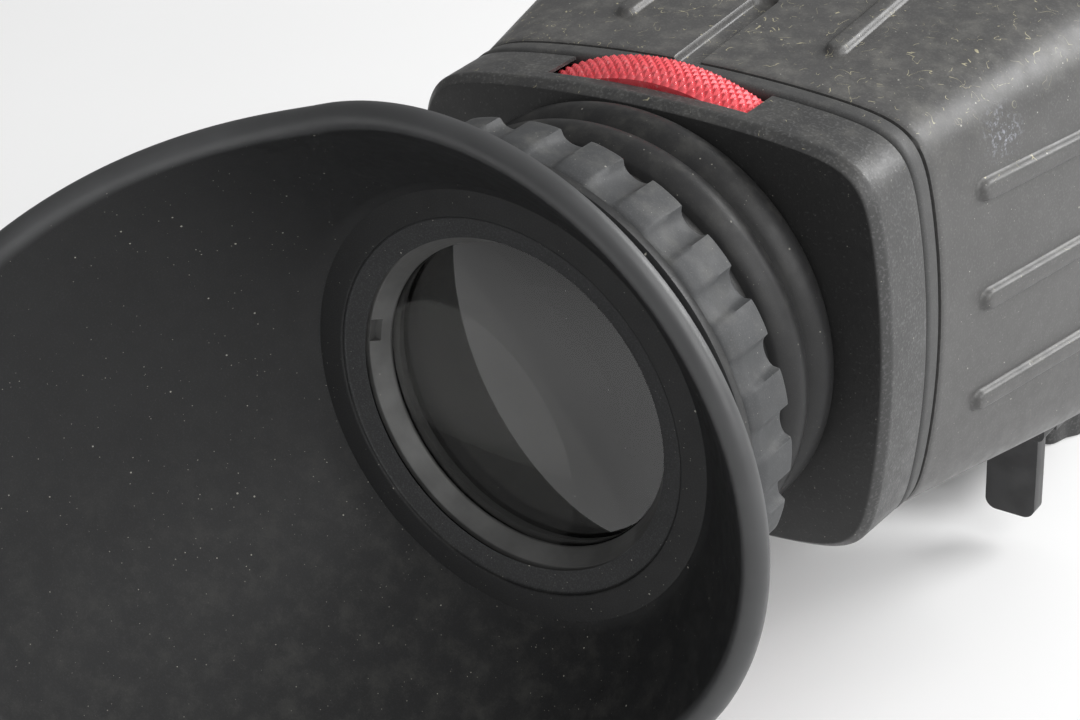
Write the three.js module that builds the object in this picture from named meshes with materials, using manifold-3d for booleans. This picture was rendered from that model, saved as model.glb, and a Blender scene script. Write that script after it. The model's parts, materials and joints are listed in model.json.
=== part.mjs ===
// A screen viewfinder loupe: a rubber eyecup and focusing lens on a flaring hood, which
// hangs on a frame against a camera's screen and is carried by a bracket under the camera.
//
// All dimensions are millimetres. Everything is built in the optical frame: the origin is the
// centre of the eye lens rim, +Y runs along the optical axis towards the camera's screen,
// +X is the user's right and +Z is up. One group then moves it all, so that the part's own
// origin lies on the camera seat, the top of the pad that the camera stands on.

import * as THREE from 'three';
import { mergeVertices } from 'three/addons/utils/BufferGeometryUtils.js';
import Module from 'manifold-3d';

const wasm = await Module();
wasm.setup();

// ---------------------------------------------------------------- driving dimensions

const GAP = 0.3; // kept between pieces that touch
const ROUND = 32; // sides of a turned piece
const FINE = 40; // corners of a rounded rectangle
const SMALL = 10; // sides of a screw
const PIN = 16; // sides of a pin, a magnet or a foot
const THROUGH = 1; // how far a cutter runs past the face that it cuts
const HALVINGS = 30; // steps in finding a point on an outline

// The camera seat, seen from the optical frame.
const SEAT_Y = 106;
const SEAT_Z = -49.5;

// Optics. The free aperture is 40 mm, and the screen is about 90 mm behind the lens.
const APERTURE_R = 19.9;
const GLASS_R = 21;
const RING_BORE_R = 20.8;
const RING_OUTER_R = 22.3;
const RING_FRONT_Y = -2.7;
const FRONT_LENS = { rim: 0, back: 2.4, frontBulge: 2.6, backBulge: 2.2 };
const REAR_LENS = { rim: 6.8, back: 9, frontBulge: 1.8 };
const SPACER = { inner: 19.4, front: 3.1, back: 6.2 };
const BARREL = { outer: 24.2, front: -3, back: 46, seat: 21.3, bore: 21.5, shoulder: 18.8 };
const SHOULDER = { front: 9.3, back: 11 };
const STOP_RING = { outer: 26.6, front: 43.5, back: 45.5 };
const KEYS = { count: 3, width: 2, inner: 23.2, outer: 26, front: 34.7, back: 36.1 };
const KEYWAY = { width: 2.6, floor: 22.9, front: 26, back: 44 };

// Eyecup. The rim is round on the nose side and drawn out into a wing on the temple side. The
// wing points a little downwards: its direction is in degrees from +X towards +Z.
const CUP = { hole: 21.55, step: 24.3, floor: 28.1, rim: 39.4, wall: 1.9 };
const CUP_Y = { band: -4, floor: -4.6, rim: -16.5, back: -2.8 };
const CUP_FLANGE_R = 33.3;
const WING = { direction: 199, reach: 22.3, sharpness: 1.75, growth: 1.2 };
const WING_FORWARD = { reach: 36.3, sharpness: 2 };
const FLARE_STEPS = 4;
const FLARE_CURVE = 1.15;
const COLLAR = { outer: 32.7, front: -2.5, back: 6, lobes: 24, flute: 1.1, chamfer: 0.9 };
const BELLOWS = { neck: 26.4, mid: 27.6, swell: 1.2, wall: 1.2 };
const BELLOWS_Y = { front: 6.4, wave: 12.35, crest: 15.4, pitch: 6.1, back: 23.9 };

// Housing cap with the focusing wheel, and the bead between the cap and the hood.
const CAP = { front: 24.2, bevel: 25.4, back: 33.4, wall: 2, corner: 12, bow: 0.11 };
const CAP_FACE = { a: 34, b: 28.1 };
const CAP_EDGE = { a: 34.8, b: 29 };
const SEAM = { a: 35.2, b: 29.3 };
const WHEEL_SLOT = { half: 14.3, front: 27.3, inner: 20, outer: 40 };
const WHEEL = { outer: 31.2, inner: 27.3, front: 27.8, back: 32.6, bevel: 0.35 };
const WHEEL_CROWN = { face: 29.6, start: 30.1, startY: 28.2, fullY: 30.4 };
const NUT = { inner: 24.6, outer: 27, front: 26.5, back: 33.2 };
const WASHER = { inner: 24.9, outer: 26.8, front: 33.5, back: 34.1 };
const RETAINER = { front: 34.4, back: 36.4, bore: 24.7 };
const BEAD = { front: 33.7, back: 36.7, wall: 2.2 };
const BOSS = { x: 27.4, z: 21.1, r: 2.9, start: 25.2 };
const CAP_SCREW = { r: 1.3, headR: 2.6, headH: 1.9, start: 28.6 };

// Hood: a moulded box that flares from the cap to the screen, with its screwed-on rear frame.
const HOOD = { front: 37, frontWall: 39, back: 83.7, wall: 2, hole: 25 };
const HOOD_FRONT = { a: 35.4, b: 29.4, n: 12, bow: 0.11 };
const HOOD_BACK = { a: 44.4, b: 33.5, n: 6.4, bow: 0 };
const RIB = { width: 2.6, height: 1, sunk: 1, end: 78 };
const SIDE_RIBS = { start: 44.5, heights: [16, 1.5, -13] };
const TOP_RIBS = { start: 45.5, places: [-15.4, 15.4] };
const TOP_CHANNEL = { width: 3.6, depth: 1.4, end: 57 };
const FOOT = { x: 23, y: 56, r: 4.2, height: 2.4 };
const REAR_FRAME = { front: 84, back: 87, a: 44.6, b: 33.8, n: 6.4 };
const WINDOW = { a: 36, b: 26.5, n: 9 };
const FRAME_SCREW = { x: 38.6, z: 26.8, r: 1.2, headR: 2.2, headH: 1.2, length: 7.5 };
const FRAME_BOSS = { r: 2.6, length: 12 };
const MAGNET = { x: 22, z: -30, r: 2, depth: 1.8 };

// Screen frame, flip-up hinge and gasket.
const SCREEN_FRAME = { front: 87.4, back: 91, a: 45, b: 34.4, n: 6.8 };
const GASKET = { front: 91.3, back: 93.3, a: 42.6, b: 32, n: 7 };
const HINGE = { y: 87.2, z: 37.4, r: 2.6, hole: 1.45, half: 9.7, outer: 16, webZ: 32.2 };
const HINGE_PIN = { r: 1.1, proud: 0.6 };
const WINDOW_STEP = 0.6; // the gasket's window is this much larger than the frames'

// Height yoke under the screen frame, and the bracket that guides and clamps it.
const YOKE = { front: 87.2, back: 90, top: -34.7, bar: -36.9, half: 27.5, corner: 1.8 };
const LEG = { inner: 19.5, bottom: -57.3 };
const TONGUE = { half: 6, bottom: -58.4, slotHalf: 1.9, slotTop: -44.6, slotBottom: -56.4 };
const YOKE_SCREW = { x: 13.5, y: 88.9, r: 0.8, headR: 1.4, headH: 0.8, length: 4.6, hold: 3 };
const GUIDE = { half: 29.5, front: 84.5, back: 93.1, top: -37.2, bottom: -41.8, corner: 1.2 };
const NECK = { half: 8, front: 90.3, back: 93.1, headHalf: 15, lap: 6 };
const PLATE = { half: 20, front: 97, back: 141, top: -51.3, bottom: -55, corner: 4 };
const PAD = { half: 19.4, front: 98.5, back: 139.5, corner: 3, slotHalf: 6.2, slotReach: 17.8 };
const CAMERA_SLOT = { y: 123, half: 3.6, reach: 12 };
const CAMERA_SCREW = { r: 3.175, top: -44, bottom: -61 };
const CAMERA_KNOB = { r: 8.4, top: -55.4, bottom: -62.5, lobes: 7, lobeDepth: 0.9 };
const CLIP = { inner: 3.5, outer: 5.6, bottom: -51, top: -50.2 };
const HEIGHT_KNOB = { r: 7.6, front: 76.4, back: 84, bossR: 3.6, z: -46.6, lobes: 7, lobeDepth: 0.7 };
const HEIGHT_STUD = { r: 1.5, front: 78, back: 92.6 };
const GUIDE_SCREW = { x: 12.3, z: -39.5, r: 0.9, headR: 1.6, headH: 0.9, length: 7.5 };

// ---------------------------------------------------------------- materials

function material(color, roughness, metalness = 0) {
  return new THREE.MeshStandardMaterial({ color, roughness, metalness });
}

const softRubber = material(0x2b2d2f, 0.8);
const gripRubber = material(0x3d4145, 0.75);
const blackPlastic = material(0x17181a, 0.6);
const hoodPlastic = material(0x3a3b3d, 0.5);
const redAnodised = material(0xc01f2e, 0.35, 0.7);
const blackMetal = material(0x1c1c1e, 0.4, 0.6);
const steel = material(0x9a9c9e, 0.3, 0.9);
const brass = material(0xb08d4a, 0.35, 0.9);
const foam = material(0x202022, 0.95);
const glass = new THREE.MeshStandardMaterial({
  color: 0x8b9088, roughness: 0.05, transparent: true, opacity: 0.4,
});

// ---------------------------------------------------------------- solids

// Turns a closed three.js geometry into a solid that can be joined and cut.
function toSolid(geometry) {
  const bare = new THREE.BufferGeometry();
  bare.setAttribute('position', geometry.getAttribute('position').clone());
  bare.setIndex(geometry.getIndex());
  const merged = mergeVertices(bare, 1e-4);
  const points = merged.getAttribute('position').array;
  const index = merged.getIndex().array;
  const triangles = [];
  let volume = 0;
  const [a, b, c] = [new THREE.Vector3(), new THREE.Vector3(), new THREE.Vector3()];
  for (let i = 0; i < index.length; i += 3) {
    const [i0, i1, i2] = [index[i], index[i + 1], index[i + 2]];
    if (i0 === i1 || i1 === i2 || i0 === i2) continue;
    triangles.push(i0, i1, i2);
    a.fromArray(points, 3 * i0);
    b.fromArray(points, 3 * i1);
    c.fromArray(points, 3 * i2);
    volume += a.dot(b.cross(c)) / 6;
  }
  if (volume < 0) triangles.reverse();
  return new wasm.Manifold(new wasm.Mesh({
    numProp: 3,
    vertProperties: new Float32Array(points),
    triVerts: new Uint32Array(triangles),
  }));
}

function toGeometry(solid) {
  const mesh = solid.getMesh();
  const geometry = new THREE.BufferGeometry();
  geometry.setAttribute('position', new THREE.BufferAttribute(new Float32Array(mesh.vertProperties), 3));
  geometry.setIndex(new THREE.BufferAttribute(new Uint32Array(mesh.triVerts), 1));
  geometry.computeVertexNormals();
  return geometry;
}

function joined(solids) {
  return solids.reduce((whole, solid) => whole.add(solid));
}

function without(solid, cutters) {
  return cutters.reduce((rest, cutter) => rest.subtract(cutter), solid);
}

// Turned about the optical axis: the profile is a list of [radius, y] that closes on itself,
// or that starts and ends on the axis.
function turnedGeometry(profile, sides = ROUND) {
  const onAxis = profile[0][0] === 0;
  const points = profile.map(([r, y]) => new THREE.Vector2(r, y));
  if (!onAxis) points.push(points[0].clone());
  return new THREE.LatheGeometry(points, sides);
}

function turned(profile, sides = ROUND) {
  return toSolid(turnedGeometry(profile, sides));
}

function ring(inner, outer, front, back, sides = ROUND) {
  return turned([[inner, front], [outer, front], [outer, back], [inner, back]], sides);
}

function disc(radius, front, back, sides = ROUND) {
  return turned([[0, front], [radius, front], [radius, back], [0, back]], sides);
}

function box(x0, x1, y0, y1, z0, z1) {
  const geometry = new THREE.BoxGeometry(x1 - x0, y1 - y0, z1 - z0);
  geometry.translate((x0 + x1) / 2, (y0 + y1) / 2, (z0 + z1) / 2);
  return toSolid(geometry);
}

// How a point compares with a section's outline, a rounded rectangle whose sides may bow: it is
// 1 on the outline and more outside it. With no bow the outline is |x/a|^n + |z/b|^n = 1.
function outlineValue({ a, b, n, bow = 0 }, x, z) {
  const across = x / a;
  const up = z / b;
  const side = Math.abs(across / (1 - bow * up * up)) ** n;
  const crown = Math.abs(up / (1 - bow * across * across)) ** n;
  return side + crown;
}

// The value between two limits at which an increasing test first passes 1.
function solve(low, high, test) {
  let [below, above] = [low, high];
  for (let i = 0; i < HALVINGS; i += 1) {
    const middle = (below + above) / 2;
    if (test(middle) > 1) above = middle;
    else below = middle;
  }
  return below;
}

// The points of an outline are first laid on a rounded rectangle of this exponent, so that they
// gather at its corners.
const SPREAD = 4.4;

// A solid whose sections across Y are rounded rectangles.
function roundedLoft(sections, sides = FINE) {
  const last = sections.length - 1;
  const stations = [
    { ...sections[0], reach: 0 },
    ...sections.map((section) => ({ ...section, reach: 1 })),
    { ...sections[last], reach: 0 },
  ];
  const outline = stations.map(({ reach, y }) => new THREE.Vector2(reach, y));
  const geometry = new THREE.LatheGeometry(outline, sides);
  const position = geometry.getAttribute('position');
  const power = (value) => {
    if (Math.abs(value) < 1e-9) return 0;
    return Math.sign(value) * Math.abs(value) ** (2 / SPREAD);
  };
  for (let i = 0; i < position.count; i += 1) {
    const section = stations[i % stations.length];
    const x = section.a * power(position.getX(i));
    const z = section.b * power(position.getZ(i));
    const scale = solve(0.5, 1.5, (share) => outlineValue(section, share * x, share * z));
    position.setXYZ(i, scale * x, section.y, scale * z);
  }
  return toSolid(geometry);
}

// A straight stretch of one rounded rectangle.
function roundedBlock(a, b, n, front, back, bow = 0) {
  return roundedLoft([{ a, b, n, bow, y: front }, { a, b, n, bow, y: back }]);
}

const EXTRUSION = { bevelEnabled: false, curveSegments: 6 };

// A flat outline in X and Z, carried along Y.
function extrudedY(shape, front, back) {
  const geometry = new THREE.ExtrudeGeometry(shape, { ...EXTRUSION, depth: back - front });
  geometry.translate(0, 0, -back);
  geometry.rotateX(Math.PI / 2);
  return toSolid(geometry);
}

// A flat outline in X and Y, carried along Z.
function extrudedZ(shape, bottom, top) {
  const geometry = new THREE.ExtrudeGeometry(shape, { ...EXTRUSION, depth: top - bottom });
  geometry.translate(0, 0, bottom);
  return toSolid(geometry);
}

function roundedRectangle(x0, x1, y0, y1, radius) {
  const shape = new THREE.Shape();
  shape.moveTo(x0 + radius, y0);
  shape.lineTo(x1 - radius, y0);
  shape.absarc(x1 - radius, y0 + radius, radius, -Math.PI / 2, 0);
  shape.lineTo(x1, y1 - radius);
  shape.absarc(x1 - radius, y1 - radius, radius, 0, Math.PI / 2);
  shape.lineTo(x0 + radius, y1);
  shape.absarc(x0 + radius, y1 - radius, radius, Math.PI / 2, Math.PI);
  shape.lineTo(x0, y0 + radius);
  shape.absarc(x0 + radius, y0 + radius, radius, Math.PI, 1.5 * Math.PI);
  return shape;
}

// A slot with round ends. Its end radius stays just under half its width, so that its arcs
// don't meet in one point.
function slotted(x0, x1, y0, y1, radius) {
  return roundedRectangle(x0, x1, y0, y1, radius - 0.01);
}

// A knob outline with rounded lobes.
function lobed(radius, lobes, depth) {
  const shape = new THREE.Shape();
  const points = lobes * 6;
  for (let i = 0; i < points; i += 1) {
    const angle = (2 * Math.PI * i) / points;
    const r = radius - depth * (0.5 - 0.5 * Math.cos(lobes * angle));
    if (i === 0) shape.moveTo(r, 0);
    else shape.lineTo(r * Math.cos(angle), r * Math.sin(angle));
  }
  shape.closePath();
  return shape;
}

// A pan-head screw along +Y: its head starts at y = 0 and its shank ends at y = length.
function screwAlongY({ r, headR, headH, length }) {
  return turned([[0, 0], [headR, 0], [headR, headH], [r, headH], [r, length], [0, length]], SMALL);
}

function pinAlongX(radius, x0, x1, y, z, sides = PIN) {
  return disc(radius, x0, x1, sides).rotate([0, 0, -90]).translate([0, y, z]);
}

// The bulge of a lens face at a radius, as a shallow parabola.
function lensFace(rimY, bulge, steps, towardsFront) {
  const face = [];
  for (let i = 0; i <= steps; i += 1) {
    const r = (GLASS_R * i) / steps;
    const rise = bulge * (1 - (r / GLASS_R) ** 2);
    face.push([r, towardsFront ? rimY - rise : rimY + rise]);
  }
  return face;
}

// ---------------------------------------------------------------- assembly

const assembly = new THREE.Group();
assembly.position.set(0, -SEAT_Y, -SEAT_Z);

function place(name, solid, look) {
  const mesh = new THREE.Mesh(toGeometry(solid), look);
  mesh.name = name;
  assembly.add(mesh);
}

// ---------------------------------------------------------------- eyepiece

function buildLenses() {
  const steps = 4;
  const front = lensFace(FRONT_LENS.rim, FRONT_LENS.frontBulge, steps, true);
  const back = lensFace(FRONT_LENS.back, FRONT_LENS.backBulge, steps, false).reverse();
  place('lens_front', turned([...front, ...back]), glass);
  const rearFace = lensFace(REAR_LENS.rim, REAR_LENS.frontBulge, steps, true);
  place('lens_rear', turned([...rearFace, [GLASS_R, REAR_LENS.back], [0, REAR_LENS.back]]), glass);
  place('lens_spacer', ring(SPACER.inner, GLASS_R, SPACER.front, SPACER.back), blackMetal);
  place('retaining_ring', turned([
    [RING_BORE_R, RING_FRONT_Y],
    [RING_OUTER_R, RING_FRONT_Y],
    [RING_OUTER_R, -GAP],
    [APERTURE_R, -GAP],
    [APERTURE_R, -3 * GAP],
    [RING_BORE_R, -3 * GAP],
  ]), blackMetal);
}

function buildBarrel() {
  const { outer, front, back, seat, bore, shoulder } = BARREL;
  const tube = turned([
    [RING_OUTER_R + GAP, front],
    [outer, front],
    [outer, back],
    [bore, back],
    [bore, SHOULDER.back],
    [shoulder, SHOULDER.back],
    [shoulder, SHOULDER.front],
    [seat, SHOULDER.front],
    [seat, FRONT_LENS.rim],
    [RING_OUTER_R + GAP, FRONT_LENS.rim],
  ]);
  const half = KEYWAY.width / 2;
  const keyway = box(KEYWAY.floor, outer + 2, KEYWAY.front, KEYWAY.back, -half, half);
  const keyways = [];
  for (let i = 0; i < KEYS.count; i += 1) keyways.push(keyway.rotate([0, 90 + (360 * i) / KEYS.count, 0]));
  place('lens_barrel', without(tube, keyways), blackMetal);
  const stop = ring(outer + GAP, STOP_RING.outer, STOP_RING.front, STOP_RING.back);
  place('barrel_stop_ring', stop, blackMetal);
}

// ---------------------------------------------------------------- eyecup

// Draws the rim out into the wing: a point's share is 0 at the neck and 1 at the rim.
function drawOutWing(geometry, shares) {
  const position = geometry.getAttribute('position');
  const direction = THREE.MathUtils.degToRad(WING.direction);
  for (let i = 0; i < position.count; i += 1) {
    const share = shares[i % shares.length];
    const [x, y, z] = [position.getX(i), position.getY(i), position.getZ(i)];
    const r = Math.hypot(x, z);
    const towardsWing = Math.max(0, (x * Math.cos(direction) + z * Math.sin(direction)) / r);
    const grown = share ** WING.growth;
    const reach = WING.reach * towardsWing ** WING.sharpness * grown;
    const forward = WING_FORWARD.reach * towardsWing ** WING_FORWARD.sharpness * grown;
    position.setXYZ(i, x * (1 + reach / r), y - forward, z * (1 + reach / r));
  }
}

function buildEyecup() {
  const profile = [
    [CUP.hole, CUP_Y.band],
    [CUP.step, CUP_Y.band],
    [CUP.step, CUP_Y.floor],
    [CUP.floor, CUP_Y.floor],
  ];
  const shares = profile.map(() => 0);
  const widen = CUP.rim - CUP.floor;
  const deepen = CUP_Y.rim - CUP_Y.floor;
  for (let i = 1; i <= FLARE_STEPS; i += 1) {
    const s = i / FLARE_STEPS;
    profile.push([CUP.floor + widen * s, CUP_Y.floor + deepen * s ** FLARE_CURVE]);
    shares.push(s);
  }
  profile.push([CUP.rim + 0.5 * CUP.wall, CUP_Y.rim - 0.5]);
  shares.push(1);
  for (let i = FLARE_STEPS; i >= 0; i -= 1) {
    const s = i / FLARE_STEPS;
    const r = CUP.floor + 1.5 * CUP.wall + (widen - 0.5 * CUP.wall) * s;
    profile.push([r, CUP_Y.floor - 0.6 + (deepen + 1.4) * s ** FLARE_CURVE]);
    shares.push(s);
  }
  const back = [
    [CUP_FLANGE_R, CUP_Y.floor],
    [CUP_FLANGE_R, CUP_Y.back],
    [BARREL.outer + GAP, CUP_Y.back],
    [BARREL.outer + GAP, BARREL.front - GAP],
    [CUP.hole, BARREL.front - GAP],
  ];
  profile.push(...back);
  shares.push(...back.map(() => 0));
  const geometry = turnedGeometry(profile, ROUND);
  drawOutWing(geometry, [...shares, shares[0]]);
  place('eyecup', toSolid(geometry), softRubber);
}

function buildCollar() {
  const { outer, front, back, lobes, flute, chamfer } = COLLAR;
  const profile = [
    [BARREL.outer + GAP, front],
    [outer - chamfer, front],
    [outer, front + chamfer],
    [outer, back - chamfer / 2],
    [outer - chamfer / 2, back],
    [BARREL.outer + GAP, back],
  ];
  const geometry = turnedGeometry(profile, lobes * 3);
  const position = geometry.getAttribute('position');
  for (let i = 0; i < position.count; i += 1) {
    const [x, y, z] = [position.getX(i), position.getY(i), position.getZ(i)];
    const r = Math.hypot(x, z);
    if (r < outer - 2 * chamfer) continue;
    const angle = Math.atan2(z, x);
    const cut = flute * (0.5 - 0.5 * Math.cos(lobes * angle));
    position.setXYZ(i, (x * (r - cut)) / r, y, (z * (r - cut)) / r);
  }
  place('eyecup_collar', toSolid(geometry), gripRubber);
}

function buildBellows() {
  const { neck, mid, swell, wall } = BELLOWS;
  const { front, wave, crest, pitch, back } = BELLOWS_Y;
  const steps = 8;
  const outside = [[neck, front], [neck, wave - 1]];
  for (let i = 0; i <= steps; i += 1) {
    const y = wave + ((back - wave) * i) / steps;
    outside.push([mid + swell * Math.cos((2 * Math.PI * (y - crest)) / pitch), y]);
  }
  const inside = outside.map(([r, y]) => [r - wall, y]).reverse();
  place('bellows', turned([...outside, ...inside]), softRubber);
}

// ---------------------------------------------------------------- housing cap and wheel

function atCorners(x, z, make) {
  const signs = [[1, 1], [1, -1], [-1, 1], [-1, -1]];
  return signs.map(([sx, sz], i) => make(sx * x, sz * z, i + 1));
}

function capOutline(inset) {
  const { corner: n, bow } = CAP;
  return [
    { a: CAP_FACE.a - inset, b: CAP_FACE.b - inset, n, bow, y: CAP.front },
    { a: CAP_EDGE.a - inset, b: CAP_EDGE.b - inset, n, bow, y: CAP.bevel },
    { a: SEAM.a - inset, b: SEAM.b - inset, n, bow, y: CAP.back },
  ];
}

function buildCap() {
  const past = CAP.back + THROUGH;
  const inner = { a: CAP_EDGE.a - CAP.wall, b: CAP_EDGE.b - CAP.wall };
  const inside = roundedBlock(inner.a, inner.b, CAP.corner, CAP.front + CAP.wall, past, CAP.bow);
  const shell = without(roundedLoft(capOutline(0)), [inside]);
  const bosses = atCorners(BOSS.x, BOSS.z, (x, z) => (
    disc(BOSS.r, BOSS.start, CAP.back, SMALL).translate([x, 0, z])
  ));
  const within = roundedLoft(capOutline(0.5));
  const corners = bosses.map((boss) => boss.intersect(within));
  const holes = atCorners(BOSS.x, BOSS.z, (x, z) => (
    disc(CAP_SCREW.r + GAP, CAP_SCREW.start - GAP, past, SMALL).translate([x, 0, z])
  ));
  const { half, front, inner: low, outer: high } = WHEEL_SLOT;
  const slots = [box(-half, half, front, past, low, high), box(-half, half, front, past, -high, -low)];
  const relief = disc(WHEEL.outer + GAP, front, past);
  const opening = disc(BARREL.outer + 2 * GAP, CAP.front - THROUGH, CAP.front + CAP.wall + THROUGH);
  const body = joined([shell, ...corners]);
  place('housing_cap', without(body, [...holes, ...slots, relief, opening]), blackPlastic);
}

function buildBead() {
  const { corner, bow } = CAP;
  const outside = roundedBlock(SEAM.a, SEAM.b, corner, BEAD.front, BEAD.back, bow);
  const inner = { a: SEAM.a - BEAD.wall, b: SEAM.b - BEAD.wall };
  const inside = roundedBlock(inner.a, inner.b, corner, BEAD.front - THROUGH, BEAD.back + THROUGH, bow);
  place('seam_bead', outside.subtract(inside), gripRubber);
}

function buildWheel() {
  const { outer, inner, front, back, bevel } = WHEEL;
  place('diopter_wheel', turned([
    [inner, front],
    [WHEEL_CROWN.face, front],
    [WHEEL_CROWN.start, WHEEL_CROWN.startY],
    [outer, WHEEL_CROWN.fullY],
    [outer, back - bevel],
    [outer - bevel, back],
    [inner, back],
  ]), redAnodised);
  place('focus_nut', ring(NUT.inner, NUT.outer, NUT.front, NUT.back), brass);
  place('wave_washer', ring(WASHER.inner, WASHER.outer, WASHER.front, WASHER.back), steel);
}

function buildRetainer() {
  const inset = BEAD.wall + GAP;
  const { front, back } = RETAINER;
  const past = back + THROUGH;
  const plate = roundedBlock(SEAM.a - inset, SEAM.b - inset, CAP.corner, front, back, CAP.bow);
  const cutters = [disc(RETAINER.bore, front - THROUGH, past)];
  const half = KEYS.width / 2;
  const key = box(KEYS.inner, KEYS.outer, KEYS.front, KEYS.back, -half, half);
  const pocketHalf = half + GAP;
  const pocket = box(KEYS.inner, KEYS.outer + GAP, KEYS.front - GAP, past, -pocketHalf, pocketHalf);
  for (let i = 0; i < KEYS.count; i += 1) {
    const turn = [0, 90 + (360 * i) / KEYS.count, 0];
    cutters.push(pocket.rotate(turn));
    place(`guide_key_${i + 1}`, key.rotate(turn), steel);
  }
  const holes = atCorners(BOSS.x, BOSS.z, (x, z) => (
    disc(CAP_SCREW.r + GAP, front - THROUGH, past, SMALL).translate([x, 0, z])
  ));
  place('wheel_retainer', without(plate, [...cutters, ...holes]), blackMetal);
}

function buildCapScrews() {
  const length = HOOD.frontWall + GAP + CAP_SCREW.headH - CAP_SCREW.start;
  atCorners(BOSS.x, BOSS.z, (x, z, count) => {
    const screw = screwAlongY({ ...CAP_SCREW, length }).rotate([180, 0, 0]);
    place(`cap_screw_${count}`, screw.translate([x, CAP_SCREW.start + length, z]), steel);
  });
}

// ---------------------------------------------------------------- hood

// The hood's section at a place along the optical axis, drawn in by an inset.
function hoodSection(y, inset = 0) {
  const t = (y - HOOD.front) / (HOOD.back - HOOD.front);
  const mix = (from, to) => from + (to - from) * t;
  return {
    a: mix(HOOD_FRONT.a, HOOD_BACK.a) - inset,
    b: mix(HOOD_FRONT.b, HOOD_BACK.b) - inset,
    n: mix(HOOD_FRONT.n, HOOD_BACK.n),
    bow: mix(HOOD_FRONT.bow, HOOD_BACK.bow),
    y,
  };
}

// One raised rib between two places along Y. It follows the hood's flare, sunk into its wall.
function rib(across, from, to, width, surfaceAt) {
  const start = hoodSection(from);
  const end = hoodSection(to);
  const half = width / 2;
  const shape = new THREE.Shape();
  shape.moveTo(from, surfaceAt(start, across) - RIB.sunk);
  shape.lineTo(to, surfaceAt(end, across) - RIB.sunk);
  shape.lineTo(to - half, surfaceAt(end, across) + RIB.height);
  shape.lineTo(from + half, surfaceAt(start, across) + RIB.height);
  shape.closePath();
  const geometry = new THREE.ExtrudeGeometry(shape, { ...EXTRUSION, depth: width });
  return geometry.translate(0, 0, across - half);
}

// The hood's surface on the flank (at a height) and on the top (at a place across).
const flankAt = (section, z) => solve(0, section.a, (x) => outlineValue(section, x, z));
const topAt = (section, x) => solve(0, section.b, (z) => outlineValue(section, x, z));

function flankRib(z, from, to, width, side) {
  const geometry = rib(z, from, to, width, flankAt);
  const turn = new THREE.Matrix4().makeBasis(
    new THREE.Vector3(0, 1, 0),
    new THREE.Vector3(side, 0, 0),
    new THREE.Vector3(0, 0, 1),
  );
  return toSolid(geometry.applyMatrix4(turn));
}

// Turns a shape drawn along Y and upwards, with its thickness across, onto the hood's top.
const ONTO_TOP = new THREE.Matrix4().makeBasis(
  new THREE.Vector3(0, 1, 0),
  new THREE.Vector3(0, 0, 1),
  new THREE.Vector3(1, 0, 0),
);

function topRib(x, from, to, width) {
  const geometry = rib(x, from, to, width, topAt);
  return toSolid(geometry.applyMatrix4(ONTO_TOP));
}

// The cutter of the channel along the middle of the hood's top. It starts at the seam bead.
function topChannel() {
  const { width, depth, end } = TOP_CHANNEL;
  const from = HOOD.front - THROUGH;
  const top = (y) => topAt(hoodSection(y), 0);
  const shape = new THREE.Shape();
  shape.moveTo(from, top(from) - depth);
  shape.lineTo(end - depth, top(end) - depth);
  shape.lineTo(end + THROUGH, top(end) + THROUGH);
  shape.lineTo(from, top(from) + THROUGH);
  shape.closePath();
  const geometry = new THREE.ExtrudeGeometry(shape, { ...EXTRUSION, depth: width });
  return toSolid(geometry.translate(0, 0, -width / 2).applyMatrix4(ONTO_TOP));
}

function buildHood() {
  const outside = roundedLoft([hoodSection(HOOD.front), hoodSection(HOOD.back)]);
  const inside = roundedLoft([
    hoodSection(HOOD.frontWall, HOOD.wall),
    hoodSection(HOOD.back + THROUGH, HOOD.wall),
  ]);
  const ribs = [];
  for (const side of [1, -1]) {
    for (const z of SIDE_RIBS.heights) ribs.push(flankRib(z, SIDE_RIBS.start, RIB.end, RIB.width, side));
  }
  for (const x of TOP_RIBS.places) ribs.push(topRib(x, TOP_RIBS.start, RIB.end, RIB.width));
  const bosses = atCorners(FRAME_SCREW.x, FRAME_SCREW.z, (x, z) => {
    const boss = disc(FRAME_BOSS.r, HOOD.back - FRAME_BOSS.length, HOOD.back, SMALL);
    return boss.translate([x, 0, z]).intersect(outside);
  });
  const frontFrom = HOOD.front - THROUGH;
  const frontTo = HOOD.frontWall + THROUGH;
  const backFrom = HOOD.back - FRAME_SCREW.length - GAP;
  const holes = [
    topChannel(),
    disc(HOOD.hole, frontFrom, frontTo),
    ...atCorners(BOSS.x, BOSS.z, (x, z) => (
      disc(CAP_SCREW.r + GAP, frontFrom, frontTo, SMALL).translate([x, 0, z])
    )),
    ...atCorners(FRAME_SCREW.x, FRAME_SCREW.z, (x, z) => (
      disc(FRAME_SCREW.r + GAP, backFrom, HOOD.back + THROUGH, SMALL).translate([x, 0, z])
    )),
  ];
  const shell = joined([without(outside, [inside]), ...ribs, ...bosses]);
  place('hood_shell', without(shell, holes), hoodPlastic);
  for (const [side, sign] of [['left', -1], ['right', 1]]) {
    const under = -topAt(hoodSection(FOOT.y + FOOT.r), FOOT.x) - GAP;
    const pad = disc(FOOT.r, under - FOOT.height, under, PIN).rotate([90, 0, 0]);
    place(`hood_foot_${side}`, pad.translate([sign * FOOT.x, FOOT.y, 0]), softRubber);
  }
}

// A knuckle about the hinge pin, joined to a frame by a web that ends short of the other leaf.
function knuckle(x0, x1, webFront, webBack) {
  const barrel = pinAlongX(HINGE.r, x0, x1, HINGE.y, HINGE.z);
  const web = box(x0, x1, webFront, webBack, HINGE.webZ, HINGE.z);
  return barrel.add(web);
}

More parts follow.
